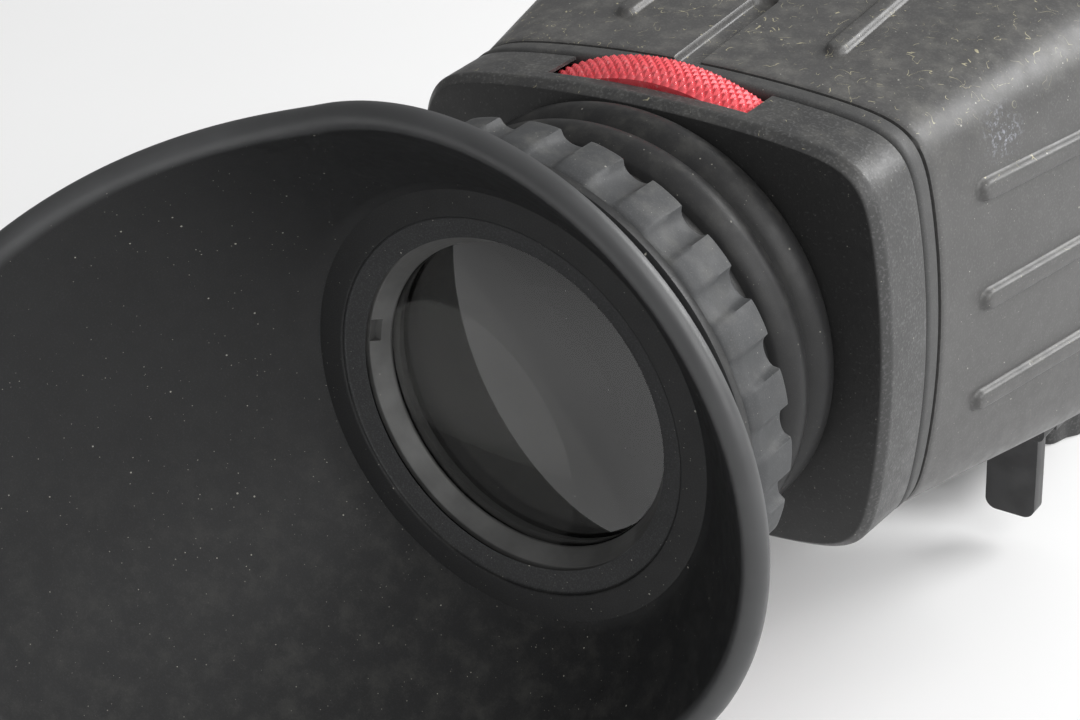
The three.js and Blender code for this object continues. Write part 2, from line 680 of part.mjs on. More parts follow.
function buildRearFrame() {
  const { front, back, a, b, n } = REAR_FRAME;
  const plate = roundedBlock(a, b, n, front, back);
  const window = roundedBlock(WINDOW.a, WINDOW.b, WINDOW.n, front - THROUGH, back + THROUGH);
  const holes = atCorners(FRAME_SCREW.x, FRAME_SCREW.z, (x, z) => joined([
    disc(FRAME_SCREW.r + GAP, front - THROUGH, back + THROUGH, SMALL).translate([x, 0, z]),
    disc(FRAME_SCREW.headR + GAP, back - FRAME_SCREW.headH - GAP, back + THROUGH, SMALL).translate([x, 0, z]),
  ]));
  const pinHole = pinAlongX(HINGE.hole, -HINGE.half - THROUGH, HINGE.half + THROUGH, HINGE.y, HINGE.z);
  const cutters = [window, ...holes, pinHole];
  for (const [side, sign] of [['left', -1], ['right', 1]]) {
    const at = [sign * MAGNET.x, 0, MAGNET.z];
    cutters.push(disc(MAGNET.r + GAP, back - MAGNET.depth - GAP, back + THROUGH, PIN).translate(at));
    place(`hood_magnet_${side}`, disc(MAGNET.r, back - MAGNET.depth, back, PIN).translate(at), steel);
    const keeper = disc(MAGNET.r, SCREEN_FRAME.front, SCREEN_FRAME.front + MAGNET.depth, PIN);
    place(`frame_keeper_${side}`, keeper.translate(at), steel);
  }
  const leaf = knuckle(-HINGE.half, HINGE.half, front, back - GAP);
  place('hood_rear_frame', without(plate.add(leaf), cutters), blackPlastic);
  atCorners(FRAME_SCREW.x, FRAME_SCREW.z, (x, z, count) => {
    const screw = screwAlongY({ ...FRAME_SCREW, length: back - front + FRAME_SCREW.length });
    const from = screw.rotate([180, 0, 0]).translate([x, back, z]);
    place(`frame_screw_${count}`, from, steel);
  });
}

function buildScreenFrame() {
  const { front, back, a, b, n } = SCREEN_FRAME;
  const plate = roundedBlock(a, b, n, front, back);
  const cutters = [roundedBlock(WINDOW.a, WINDOW.b, WINDOW.n, front - THROUGH, back + THROUGH)];
  const leaves = [1, -1].map((side) => {
    const x0 = side > 0 ? HINGE.half + GAP : -HINGE.outer;
    return knuckle(x0, x0 + HINGE.outer - HINGE.half - GAP, front + GAP, back);
  });
  cutters.push(pinAlongX(HINGE.hole, -HINGE.outer - THROUGH, HINGE.outer + THROUGH, HINGE.y, HINGE.z));
  for (const sign of [1, -1]) {
    const pocket = disc(MAGNET.r + GAP, front - THROUGH, front + MAGNET.depth + GAP, PIN);
    cutters.push(pocket.translate([sign * MAGNET.x, 0, MAGNET.z]));
    const hole = disc(YOKE_SCREW.r + GAP, -b - THROUGH, -b + YOKE_SCREW.hold, SMALL).rotate([90, 0, 0]);
    cutters.push(hole.translate([sign * YOKE_SCREW.x, YOKE_SCREW.y, 0]));
  }
  place('screen_frame', without(joined([plate, ...leaves]), cutters), blackPlastic);
  const pinEnd = HINGE.outer + HINGE_PIN.proud;
  place('hinge_pin', pinAlongX(HINGE_PIN.r, -pinEnd, pinEnd, HINGE.y, HINGE.z), steel);
}

function buildGasket() {
  const { front, back, a, b, n } = GASKET;
  const window = { a: WINDOW.a + WINDOW_STEP, b: WINDOW.b + WINDOW_STEP };
  const opening = roundedBlock(window.a, window.b, WINDOW.n, front - THROUGH, back + THROUGH);
  place('screen_gasket', roundedBlock(a, b, n, front, back).subtract(opening), foam);
}

// ---------------------------------------------------------------- height yoke and bracket

function buildYoke() {
  const { front, back, top, bar, half, corner } = YOKE;
  const upright = (x0, x1, bottom) => extrudedY(roundedRectangle(x0, x1, bottom, top, corner), front, back);
  const { slotHalf, slotTop, slotBottom } = TONGUE;
  const slotShape = slotted(-slotHalf, slotHalf, slotBottom, slotTop, slotHalf);
  const slot = extrudedY(slotShape, front - THROUGH, back + THROUGH);
  const crossbar = box(-half, half, front, back, bar, top);
  const cutters = [slot];
  const headTop = bar + YOKE_SCREW.headH;
  for (const [count, sign] of [[1, 1], [2, -1]]) {
    const at = [sign * YOKE_SCREW.x, YOKE_SCREW.y, 0];
    const hole = disc(YOKE_SCREW.r + GAP, bar - THROUGH, top + THROUGH, SMALL).rotate([90, 0, 0]);
    const sink = disc(YOKE_SCREW.headR + GAP, bar - THROUGH, headTop + GAP, SMALL).rotate([90, 0, 0]);
    cutters.push(hole.translate(at), sink.translate(at));
    const screw = screwAlongY(YOKE_SCREW).rotate([90, 0, 0]);
    place(`yoke_screw_${count}`, screw.translate([at[0], at[1], bar]), steel);
  }
  const uprights = [
    upright(LEG.inner, half, LEG.bottom),
    upright(-half, -LEG.inner, LEG.bottom),
    upright(-TONGUE.half, TONGUE.half, TONGUE.bottom),
  ];
  const yoke = joined([crossbar, ...uprights]);
  place('height_yoke', without(yoke, cutters), blackMetal);
}

// The block in front of the bracket's head, with an eye for each leg and one for the tongue.
function buildGuide() {
  const { half, front, back, top, bottom, corner } = GUIDE;
  const block = extrudedY(roundedRectangle(-half, half, bottom, top, corner), front, NECK.front - GAP);
  const behindLegs = NECK.headHalf + GAP;
  const wings = [[behindLegs, half], [-half, -behindLegs]].map(([x0, x1]) => (
    box(x0, x1, YOKE.back - THROUGH, back, bottom, top)
  ));
  const uprights = [[LEG.inner, YOKE.half], [-YOKE.half, -LEG.inner], [-TONGUE.half, TONGUE.half]];
  const eyes = uprights.map(([x0, x1]) => (
    box(x0 - GAP, x1 + GAP, YOKE.front - GAP, YOKE.back + GAP, bottom - THROUGH, top + THROUGH)
  ));
  const holes = [1, -1].map((sign) => (
    disc(GUIDE_SCREW.r + GAP, back - GUIDE_SCREW.length - GAP, back, SMALL)
      .translate([sign * GUIDE_SCREW.x, 0, GUIDE_SCREW.z])
  ));
  place('guide_block', without(joined([block, ...wings]), [...eyes, ...holes]), blackMetal);
}

function buildBracket() {
  const outline = roundedRectangle(-PLATE.half, PLATE.half, PLATE.front, PLATE.back, PLATE.corner);
  const plate = extrudedZ(outline, PLATE.bottom, PLATE.top);
  const tail = box(-NECK.half, NECK.half, NECK.front, PLATE.front + NECK.lap, PLATE.bottom, PLATE.top);
  const neck = box(-NECK.half, NECK.half, NECK.front, NECK.back, PLATE.bottom, GUIDE.top);
  const head = box(-NECK.headHalf, NECK.headHalf, NECK.front, NECK.back, GUIDE.bottom, GUIDE.top);
  const { y: slotY, half: slotHalf } = CAMERA_SLOT;
  const reach = CAMERA_SLOT.reach + slotHalf;
  const slotShape = slotted(-reach, reach, slotY - slotHalf, slotY + slotHalf, slotHalf);
  const slot = extrudedZ(slotShape, PLATE.bottom - THROUGH, PLATE.top + THROUGH);
  const studHole = disc(HEIGHT_STUD.r + GAP, NECK.front - THROUGH, NECK.back + THROUGH, PIN)
    .translate([0, 0, HEIGHT_KNOB.z]);
  const cutters = [slot, studHole];
  for (const [count, sign] of [[1, 1], [2, -1]]) {
    const at = [sign * GUIDE_SCREW.x, 0, GUIDE_SCREW.z];
    const sink = NECK.back - GUIDE_SCREW.headH - GAP;
    cutters.push(disc(GUIDE_SCREW.r + GAP, NECK.front - THROUGH, NECK.back + THROUGH, SMALL).translate(at));
    cutters.push(disc(GUIDE_SCREW.headR + GAP, sink, NECK.back + THROUGH, SMALL).translate(at));
    const screw = screwAlongY(GUIDE_SCREW).rotate([180, 0, 0]);
    place(`guide_screw_${count}`, screw.translate([at[0], NECK.back, at[2]]), steel);
  }
  place('camera_bracket', without(joined([plate, tail, neck, head]), cutters), blackMetal);
}

function buildPad() {
  const { half, front, back, corner, slotHalf, slotReach } = PAD;
  const outline = roundedRectangle(-half, half, front, back, corner);
  const { y } = CAMERA_SLOT;
  const hole = roundedRectangle(-slotReach, slotReach, y - slotHalf, y + slotHalf, corner);
  const opening = extrudedZ(hole, PLATE.top - THROUGH, SEAT_Z + THROUGH);
  place('camera_pad', extrudedZ(outline, PLATE.top + GAP, SEAT_Z).subtract(opening), softRubber);
}

function buildCameraScrew() {
  const x = CAMERA_SLOT.reach;
  const y = CAMERA_SLOT.y;
  const upright = (solid) => solid.rotate([90, 0, 0]).translate([x, y, 0]);
  const { r, top, bottom } = CAMERA_SCREW;
  place('camera_screw', upright(disc(r, bottom, top, PIN)), steel);
  const outline = lobed(CAMERA_KNOB.r, CAMERA_KNOB.lobes, CAMERA_KNOB.lobeDepth);
  const knob = extrudedZ(outline, CAMERA_KNOB.bottom, CAMERA_KNOB.top);
  const socket = disc(r + GAP, bottom - GAP, CAMERA_KNOB.top + THROUGH, PIN).rotate([90, 0, 0]);
  place('camera_knob', knob.subtract(socket).translate([x, y, 0]), blackPlastic);
  place('camera_screw_clip', upright(ring(CLIP.inner, CLIP.outer, CLIP.bottom, CLIP.top, PIN)), steel);
}

function buildHeightClamp() {
  const { r, front, back, bossR, z, lobes, lobeDepth } = HEIGHT_KNOB;
  const boss = disc(bossR, back - THROUGH, YOKE.front - GAP, PIN);
  const knob = extrudedY(lobed(r, lobes, lobeDepth), front, back).add(boss);
  const socket = disc(HEIGHT_STUD.r + GAP, HEIGHT_STUD.front - GAP, YOKE.front, PIN);
  place('height_knob', knob.subtract(socket).translate([0, 0, z]), blackPlastic);
  const stud = disc(HEIGHT_STUD.r, HEIGHT_STUD.front, HEIGHT_STUD.back, PIN);
  place('height_stud', stud.translate([0, 0, z]), steel);
}

buildLenses();
buildBarrel();
buildEyecup();
buildCollar();
buildBellows();
buildCap();
buildBead();
buildWheel();
buildRetainer();
buildCapScrews();
buildHood();
buildRearFrame();
buildScreenFrame();
buildGasket();
buildYoke();
buildGuide();
buildBracket();
buildPad();
buildCameraScrew();
buildHeightClamp();

const part = new THREE.Group();
part.add(assembly);
export default part;
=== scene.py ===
"""The looks of a screen viewfinder loupe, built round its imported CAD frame.

Lengths in this script are millimetres in the optical frame: the origin is the centre of the
eye lens rim, +Y runs along the optical axis to the camera's screen, +X is the user's right and
+Z is up. in_row() turns such a point into the frame's metres.
"""

import json
import math

import bmesh
import bpy
from mathutils import Matrix, Vector


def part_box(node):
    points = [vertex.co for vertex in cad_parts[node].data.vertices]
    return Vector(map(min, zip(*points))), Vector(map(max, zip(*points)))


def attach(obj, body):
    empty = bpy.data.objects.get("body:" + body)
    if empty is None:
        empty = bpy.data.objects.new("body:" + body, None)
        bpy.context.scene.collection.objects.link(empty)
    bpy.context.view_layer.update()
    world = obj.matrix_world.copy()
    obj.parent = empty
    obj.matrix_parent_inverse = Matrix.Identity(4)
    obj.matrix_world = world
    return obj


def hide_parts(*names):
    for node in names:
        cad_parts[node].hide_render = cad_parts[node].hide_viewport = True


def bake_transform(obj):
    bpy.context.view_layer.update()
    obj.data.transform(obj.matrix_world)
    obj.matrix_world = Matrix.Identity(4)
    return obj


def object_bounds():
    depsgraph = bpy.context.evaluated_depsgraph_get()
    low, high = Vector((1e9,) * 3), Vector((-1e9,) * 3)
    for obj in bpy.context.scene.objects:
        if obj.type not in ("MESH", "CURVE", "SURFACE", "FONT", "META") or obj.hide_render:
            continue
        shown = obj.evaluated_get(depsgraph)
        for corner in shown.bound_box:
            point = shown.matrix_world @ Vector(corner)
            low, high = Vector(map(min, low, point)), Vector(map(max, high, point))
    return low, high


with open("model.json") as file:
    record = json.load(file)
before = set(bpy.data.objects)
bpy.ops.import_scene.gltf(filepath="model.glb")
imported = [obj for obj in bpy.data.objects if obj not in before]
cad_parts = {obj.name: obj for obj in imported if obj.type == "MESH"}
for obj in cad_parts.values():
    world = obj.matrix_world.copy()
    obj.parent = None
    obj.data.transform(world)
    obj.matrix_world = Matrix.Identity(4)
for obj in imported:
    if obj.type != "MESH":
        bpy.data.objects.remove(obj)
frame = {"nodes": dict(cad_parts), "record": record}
cad_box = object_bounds()
scene = bpy.context.scene
record = frame["record"]

MM = 0.001
GAP = 0.3
ROUND = 192
MARK = "mark"

# The barrel's front edge stands this far in front of the eye lens rim.
BARREL_LEAD = 3.0
BARREL_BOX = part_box("lens_barrel")
EYE_Y = BARREL_BOX[0].y / MM + BARREL_LEAD
EYE_Z = (BARREL_BOX[0].z + BARREL_BOX[1].z) / 2 / MM

BODY_OF = {
    node: body for body, nodes in record["behaviour"]["bodies"].items() for node in nodes
}
SLOT_OF = {row["node"]: row["material_slot"] for row in record["subparts"]}


def in_row(x, y, z):
    """A point of the optical frame, in the frame's metres."""
    return Vector((x * MM, (y + EYE_Y) * MM, (z + EYE_Z) * MM))


def span(node):
    """The lowest and highest corners of a CAD node, in the optical frame."""
    offset = Vector((0, EYE_Y, EYE_Z))
    low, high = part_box(node)
    return low / MM - offset, high / MM - offset


# ------------------------------------------------------------------ materials


class Graph:
    """A short way to write a material's nodes. Lengths in its patterns are millimetres."""

    def __init__(self, name):
        self.material = bpy.data.materials.new(name)
        self.material.use_nodes = True
        self.tree = self.material.node_tree
        self.tree.nodes.clear()
        output = self.tree.nodes.new("ShaderNodeOutputMaterial")
        self.shader = self.tree.nodes.new("ShaderNodeBsdfPrincipled")
        self.tree.links.new(self.shader.outputs[0], output.inputs["Surface"])
        self.coordinates = self.tree.nodes.new("ShaderNodeTexCoord")
        self.place = self.vector("MULTIPLY", self.coordinates.outputs["Object"], (1 / MM,) * 3)[0]

    def feed(self, socket, value):
        if isinstance(value, bpy.types.NodeSocket):
            self.tree.links.new(value, socket)
        else:
            socket.default_value = value

    def set(self, **inputs):
        for name, value in inputs.items():
            self.feed(self.shader.inputs[name.replace("_", " ")], value)

    def math(self, operation, *values, clamp=False):
        node = self.tree.nodes.new("ShaderNodeMath")
        node.operation = operation
        node.use_clamp = clamp
        for socket, value in zip(node.inputs, values):
            self.feed(socket, value)
        return node.outputs[0]

    def vector(self, operation, first, second):
        node = self.tree.nodes.new("ShaderNodeVectorMath")
        node.operation = operation
        self.feed(node.inputs[0], first)
        self.feed(node.inputs[1], second)
        return node.outputs

    def noise(self, size, detail=2.0, roughness=0.5, distortion=0.0, place=None):
        """Noise whose blobs are about this many millimetres across."""
        node = self.tree.nodes.new("ShaderNodeTexNoise")
        self.feed(node.inputs["Vector"], place or self.place)
        node.inputs["Scale"].default_value = 1 / size
        node.inputs["Detail"].default_value = detail
        node.inputs["Roughness"].default_value = roughness
        node.inputs["Distortion"].default_value = distortion
        return node.outputs["Fac"]

    def stretched(self, x, y, z):
        """The place, with its patterns drawn out along the axes."""
        return self.vector("MULTIPLY", self.place, (1 / x, 1 / y, 1 / z))[0]

    def between(self, value, low, high, to_low=0.0, to_high=1.0):
        node = self.tree.nodes.new("ShaderNodeMapRange")
        node.interpolation_type = "SMOOTHSTEP"
        self.feed(node.inputs["Value"], value)
        node.inputs["From Min"].default_value = low
        node.inputs["From Max"].default_value = high
        node.inputs["To Min"].default_value = to_low
        node.inputs["To Max"].default_value = to_high
        return node.outputs["Result"]

    def mix(self, share, first, second):
        node = self.tree.nodes.new("ShaderNodeMix")
        node.data_type = "RGBA"
        self.feed(node.inputs[0], share)
        self.feed(node.inputs[6], first)
        self.feed(node.inputs[7], second)
        return node.outputs[2]

    def specks(self, spacing, size):
        """Small grains: about one in each cell of this spacing, of very different sizes."""
        node = self.tree.nodes.new("ShaderNodeTexVoronoi")
        self.feed(node.inputs["Vector"], self.place)
        node.inputs["Scale"].default_value = 1 / spacing
        split = self.tree.nodes.new("ShaderNodeSeparateColor")
        self.feed(split.inputs[0], node.outputs["Color"])
        reach = self.math("MULTIPLY", self.math("POWER", split.outputs[0], 3.0), size / spacing)
        return self.math("LESS_THAN", node.outputs["Distance"], reach)

    def fibres(self, size, amount, seed):
        """Short curly fibres: pieces of a noise's contour lines, where a second noise is high."""
        place = self.vector("ADD", self.place, (seed, 2.3 * seed, -1.7 * seed))[0]
        line = self.noise(size, detail=1.0, distortion=0.6, place=place)
        away = self.math("ABSOLUTE", self.math("SUBTRACT", line, 0.5))
        thin = self.between(away, 0.003, 0.009, 1.0, 0.0)
        patch = self.between(self.noise(size * 0.8, place=place), 0.68 - amount, 0.71 - amount)
        return self.math("MULTIPLY", thin, patch)

    def axes(self, vector):
        split = self.tree.nodes.new("ShaderNodeSeparateXYZ")
        self.feed(split.inputs[0], vector)
        return split.outputs

    def marked(self):
        """The number that solid() gave this place."""
        node = self.tree.nodes.new("ShaderNodeAttribute")
        node.attribute_name = MARK
        return node.outputs["Fac"]

    def facing_up(self):
        return self.math("MAXIMUM", self.axes(self.coordinates.outputs["Normal"])["Z"], 0.0)

    def facing_eye(self):
        """1 on faces that look along the optical axis towards the eye."""
        return self.between(self.axes(self.coordinates.outputs["Normal"])["Y"], -0.97, -0.8, 1.0, 0.0)

    def from_axis(self):
        """The steps across and up from the optical axis, and the distance from it."""
        place = self.axes(self.place)
        across = place["X"]
        up = self.math("SUBTRACT", place["Z"], EYE_Z)
        reach = self.math("SQRT", self.math("MULTIPLY_ADD", across, across, self.math("MULTIPLY", up, up)))
        return across, up, reach

    def facing_axis(self):
        """1 where a surface looks at the optical axis, as the inside of a tube does."""
        normal = self.axes(self.coordinates.outputs["Normal"])
        across, up, reach = self.from_axis()
        dot = self.math("MULTIPLY_ADD", normal["X"], across, self.math("MULTIPLY", normal["Z"], up))
        return self.between(self.math("DIVIDE", dot, reach), -0.6, -0.3, 1.0, 0.0)

    def behind(self, y):
        """1 behind a place along the optical axis."""
        return self.math("GREATER_THAN", self.axes(self.place)["Y"], y + EYE_Y)

    def near(self, point, radius):
        """1 at a point of the optical frame, falling to 0 at a radius from it."""
        away = self.vector("DISTANCE", self.place, in_row(*point) / MM)["Value"]
        return self.between(away, 0.0, radius, 1.0, 0.0)

    def edges(self, radius):
        """1 along sharp outside and inside edges, 0 on open surfaces."""
        bevel = self.tree.nodes.new("ShaderNodeBevel")
        bevel.samples = 4
        bevel.inputs["Radius"].default_value = radius * MM
        normal = self.tree.nodes.new("ShaderNodeNewGeometry").outputs["Normal"]
        alike = self.vector("DOT_PRODUCT", bevel.outputs[0], normal)["Value"]
        return self.between(alike, 0.8, 0.99, 1.0, 0.0)

    def bump(self, layers):
        """Layers of (height, strength in millimetres), one on the other."""
        normal = None
        for height, depth in layers:
            node = self.tree.nodes.new("ShaderNodeBump")
            node.inputs["Strength"].default_value = 1.0
            node.inputs["Distance"].default_value = depth * MM
            self.feed(node.inputs["Height"], height)
            if normal is not None:
                self.feed(node.inputs["Normal"], normal)
            normal = node.outputs[0]
        self.feed(self.shader.inputs["Normal"], normal)


def shade(color, factor):
    return tuple(factor * c for c in color[:3]) + (1.0,)


DUST = (0.36, 0.35, 0.31, 1.0)
LINT = (0.5, 0.46, 0.3, 1.0)
SCUFF = (0.55, 0.57, 0.66, 1.0)
GLASS_TINT = (0.4, 0.4, 0.39, 1.0)
GLASS_IOR = 1.75
# A brown speck on the eye lens.
LENS_SPECK = {"place": (-6.0, -1.5, -17.0), "radius": 0.7}
# Tubes are matt black inside, the barrel only from this place back.
LINING = (0.006, 0.006, 0.006, 1.0)
BARREL_LINING = -0.2


def moulded(
    name, color, roughness, grain=0.25, grain_depth=0.01, specular=0.4, mottle=0.06, dust=0.1,
    specks=0.25, fibres=0.0, wear=0.2, wear_radius=0.25, face=1.0, lined=False, scuffs=None,
    painted_glints=0.25, bands=(), marked=0.0,
):
    """Moulded material with grain, mottling, dust, lint and lighter edges, and with painted glints,
    painted shade and a painted highlight.

    face is how much darker the faces towards the eye are, as painted shade, lined makes the inside of a
    tube matt black, scuffs is a (place, radius) with pale rub marks, painted_glints is the share of grains
    painted light as glints, bands are (inner radius, outer radius, factor) of rings that are lighter or
    darker, and marked is how light the marked places are, as a painted highlight mixed with dust.
    """
    g = Graph(name)
    cloud = g.noise(9.0, detail=4.0)
    clouded = g.between(cloud, 0.3, 0.7)
    fine = g.noise(grain, detail=2.0)
    tone = g.mix(clouded, shade(color, 1 - mottle), shade(color, 1 + mottle))
    # Painted glints: a share of the grains is painted much lighter, standing in for light caught by the
    # grain.
    tone = g.mix(g.math("MULTIPLY", g.between(fine, 0.5, 0.72), painted_glints), tone, shade(color, 2.4))
    for inner, outer, factor in bands:
        reach = g.from_axis()[2]
        past_inner = g.math("GREATER_THAN", reach, inner)
        within = g.math("MULTIPLY", past_inner, g.math("LESS_THAN", reach, outer))
        grainy = g.mix(g.between(fine, 0.45, 0.7), shade(color, factor), shade(color, 1.8 * factor))
        tone = g.mix(within, tone, grainy)
    # Painted shade: faces that look towards the eye are darkened, with lighter grains kept in them, for
    # the shade the eyecup casts on them.
    if face != 1.0:
        painted_face_shade = g.mix(g.between(fine, 0.6, 0.75), shade(color, face), shade(color, 1.2))
        tone = g.mix(g.facing_eye(), tone, painted_face_shade)
    patchy = g.between(g.noise(1.3, detail=3.0), 0.35, 0.65, 0.0, wear)
    tone = g.mix(g.math("MULTIPLY", g.edges(wear_radius), patchy), tone, shade(color, 3.0))
    up = g.facing_up()
    film = g.math("MULTIPLY", g.between(g.noise(3.2, detail=5.0, roughness=0.65), 0.4, 0.8), up)
    film = g.math("MULTIPLY", film, dust)
    tone = g.mix(film, tone, DUST)
    for spacing, size, share in ((1.4, 0.13, 1.0), (0.6, 0.08, 0.6)):
        tone = g.mix(g.math("MULTIPLY", g.specks(spacing, size), share * specks), tone, DUST)
    if fibres:
        short = g.math("MULTIPLY", g.fibres(2.2, fibres, 3.1), g.between(up, 0.2, 0.7, 0.0, 0.7))
        tone = g.mix(short, tone, LINT)
    if scuffs:
        rubbed = g.between(g.noise(0.7, detail=4.0, roughness=0.7), 0.5, 0.66, 0.0, 0.45)
        tone = g.mix(g.math("MULTIPLY", rubbed, g.near(*scuffs)), tone, SCUFF)
    # Painted highlight: the marked places are made lighter and glossier, standing in for a highlight along
    # them, mixed with some dust.
    if marked:
        mark = g.marked()
        tone = g.mix(mark, tone, g.mix(clouded, shade(color, 0.8 * marked), shade(color, marked)))
        specular = g.between(mark, 0.0, 1.0, specular, 0.6)
    rough = g.between(g.noise(2.0, detail=3.0), 0.3, 0.7, roughness - 0.04, roughness + 0.05)
    rough = g.math("ADD", rough, g.math("MULTIPLY", film, 0.5), clamp=True)
    if lined:
        inside = g.facing_axis()
        tone = g.mix(inside, tone, LINING)
        rough = g.math("MAXIMUM", rough, g.math("MULTIPLY", inside, 0.9))
        specular = g.between(inside, 0.0, 1.0, specular, 0.1)
    g.set(Base_Color=tone, Roughness=rough, Specular_IOR_Level=specular)
    g.bump([(fine, grain_depth), (cloud, 0.02)])
    return g.material


def knurled_red():
    g = Graph("red_anodised_look")
    cloud = g.noise(2.2, detail=4.0)
    rough = g.between(cloud, 0.3, 0.7, 0.26, 0.36)
    tone = g.mix(g.between(cloud, 0.3, 0.7), (0.86, 0.07, 0.09, 1), (0.93, 0.12, 0.14, 1))
    worn = g.between(g.noise(0.5, detail=3.0), 0.58, 0.75, 0.0, 0.4)
    tone = g.mix(worn, tone, (0.95, 0.42, 0.43, 1))
    dirt = g.math("MULTIPLY", g.specks(1.1, 0.1), 0.5)
    tone = g.mix(dirt, tone, (0.25, 0.12, 0.1, 1))
    g.set(Base_Color=tone, Metallic=0.25, Roughness=rough, Specular_IOR_Level=1.0)
    g.bump([(g.noise(0.12), 0.004)])
    return g.material


def lens_coating(name, specular):
    """Clear glass with dust on it. Where it is clean it has no roughness at all."""
    g = Graph(name)
    dirt = g.specks(1.9, 0.07)
    speck = g.near(LENS_SPECK["place"], LENS_SPECK["radius"])
    tone = g.mix(dirt, GLASS_TINT, (0.5, 0.5, 0.48, 1))
    tone = g.mix(speck, tone, (0.5, 0.2, 0.04, 1))
    opaque = g.math("MAXIMUM", dirt, g.between(speck, 0.3, 0.5))
    clear = g.math("SUBTRACT", 1.0, opaque)
    rough = g.math("MULTIPLY", opaque, 0.8)
    g.set(Base_Color=tone, Roughness=rough, IOR=GLASS_IOR, Transmission_Weight=clear)
    g.set(Specular_IOR_Level=specular)
    return g.material


def turned_metal(name, color, roughness, wear=0.35, lined=False, metallic=0.85):
    """Turned metal: fine rings round the optical axis, with lighter edges."""
    g = Graph(name)
    lines = g.noise(0.35, detail=2.0, place=g.stretched(12.0, 0.4, 12.0))
    cloud = g.noise(6.0, detail=4.0)
    tone = g.mix(g.between(cloud, 0.3, 0.7), shade(color, 0.8), shade(color, 1.2))
    worn = g.math("MULTIPLY", g.edges(0.12), g.between(g.noise(1.0), 0.35, 0.7, 0.0, wear))
    tone = g.mix(worn, tone, (0.6, 0.6, 0.6, 1))
    grains = g.math("MULTIPLY", g.specks(1.6, 0.14), 0.3)
    tone = g.mix(grains, tone, DUST)
    rough = g.between(lines, 0.3, 0.7, roughness - 0.07, roughness + 0.07)
    if lined:
        inside = g.math("MULTIPLY", g.facing_axis(), g.behind(BARREL_LINING))
        tone = g.mix(inside, tone, LINING)
        metallic = g.math("MULTIPLY_ADD", inside, -metallic, metallic)
        rough = g.math("MAXIMUM", rough, g.math("MULTIPLY", inside, 0.9))
    g.set(Base_Color=tone, Metallic=metallic, Roughness=rough)
    g.bump([(lines, 0.006)])
    return g.material


def open_foam():
    g = Graph("foam_look")
    cells = g.noise(0.45, detail=3.0, roughness=0.7)
    cloud = g.noise(5.0)
    tone = g.mix(g.between(cells, 0.35, 0.6), (0.006, 0.006, 0.006, 1), (0.035, 0.035, 0.036, 1))
    tone = g.mix(g.math("MULTIPLY", g.specks(2.0, 0.2), 0.5), tone, DUST)
    g.set(Base_Color=tone, Roughness=g.between(cloud, 0.3, 0.7, 0.88, 0.98), Specular_IOR_Level=0.15)
    g.bump([(cells, 0.12)])
    return g.material


LOOKS = {
    "soft_rubber": moulded(
        "soft_rubber_look", (0.015, 0.015, 0.0154), 0.45, grain=0.16, grain_depth=0.005,
        specular=0.3, dust=0.09, specks=0.4, wear=0.1, wear_radius=0.5,
    ),
    "grip_rubber": moulded(
        "grip_rubber_look", (0.043, 0.0444, 0.0462), 0.58, grain=0.2, grain_depth=0.005,
        specular=0.35, mottle=0.08, dust=0.13, specks=0.6, wear=0.5, wear_radius=0.4,
    ),
    # Its faces towards the eye get painted shade, and its grains painted glints.
    "black_plastic": moulded(
        "black_plastic_look", (0.036, 0.036, 0.036), 0.42, grain=0.38, grain_depth=0.03,
        specular=0.45, dust=0.12, specks=0.5, fibres=0.03, wear=0.4, wear_radius=0.4, face=0.6,
        painted_glints=0.8,
    ),
    "hood_plastic": moulded(
        "hood_plastic_look", (0.062, 0.061, 0.06), 0.38, grain=0.32, grain_depth=0.01,
        specular=0.5, dust=0.2, specks=0.9, fibres=0.13, wear=0.35, wear_radius=0.5, lined=True,
        scuffs=((37.0, 50.0, 22.0), 5.0),
    ),
    "red_anodised": knurled_red(),
    "black_metal": turned_metal("black_metal_look", (0.06, 0.06, 0.061), 0.36, lined=True),
    "steel": turned_metal("steel_look", (0.4, 0.4, 0.41), 0.3),
    "brass": turned_metal("brass_look", (0.62, 0.43, 0.17), 0.32),
    "foam": open_foam(),
    "lens_glass": lens_coating("lens_glass_look", 0.5),
}
INNER_GLASS = lens_coating("inner_glass_look", 0.08)
RING_METAL = turned_metal("ring_metal_look", (0.11, 0.11, 0.108), 0.45, metallic=0.2)
# Its marked lip gets a painted highlight mixed with dust.
CUP_RUBBER = moulded(
    "cup_rubber_look", (0.014, 0.0143, 0.0148), 0.42, grain=0.2, grain_depth=0.006, specular=0.27,
    dust=0.08, specks=0.8, wear=0.1, wear_radius=0.5, bands=((20.0, 24.3, 1.8), (24.3, 28.0, 0.8)),
    marked=3.4,
)
BEAD_RUBBER = moulded(
    "bead_rubber_look", (0.05, 0.05, 0.05), 0.55, grain=0.2, grain_depth=0.004, specular=0.35,
    dust=0.12, specks=0.3, fibres=0.01, wear=0.15, wear_radius=0.4,
)


# ------------------------------------------------------------------ solids


HALVINGS = 26
CORNER_SPREAD = 3.0


def solve(limit, outside):
    """The length from 0 to a limit at which a test turns true, by halving."""
    low, high = 0.0, limit
    for _ in range(HALVINGS):
        middle = (low + high) / 2
        if outside(middle):
            high = middle
        else:
            low = middle
    return high


def is_outside(a, b, n, bow, x, z):
    """Whether a point lies outside a rounded rectangle whose sides bow out by a share of it."""
    across = abs(x / a) / (1 - bow * (z / b) ** 2)
    up = abs(z / b) / (1 - bow * (x / a) ** 2)
    return across ** n + up ** n > 1


def outline_reach(a, b, n, bow, angle):
    """How far such an outline lies from the axis, in a direction."""
    x, z = math.cos(angle), math.sin(angle)
    if not bow:
        return (abs(x / a) ** n + abs(z / b) ** n) ** (-1 / n)
    return solve(math.hypot(a, b), lambda reach: is_outside(a, b, n, bow, reach * x, reach * z))


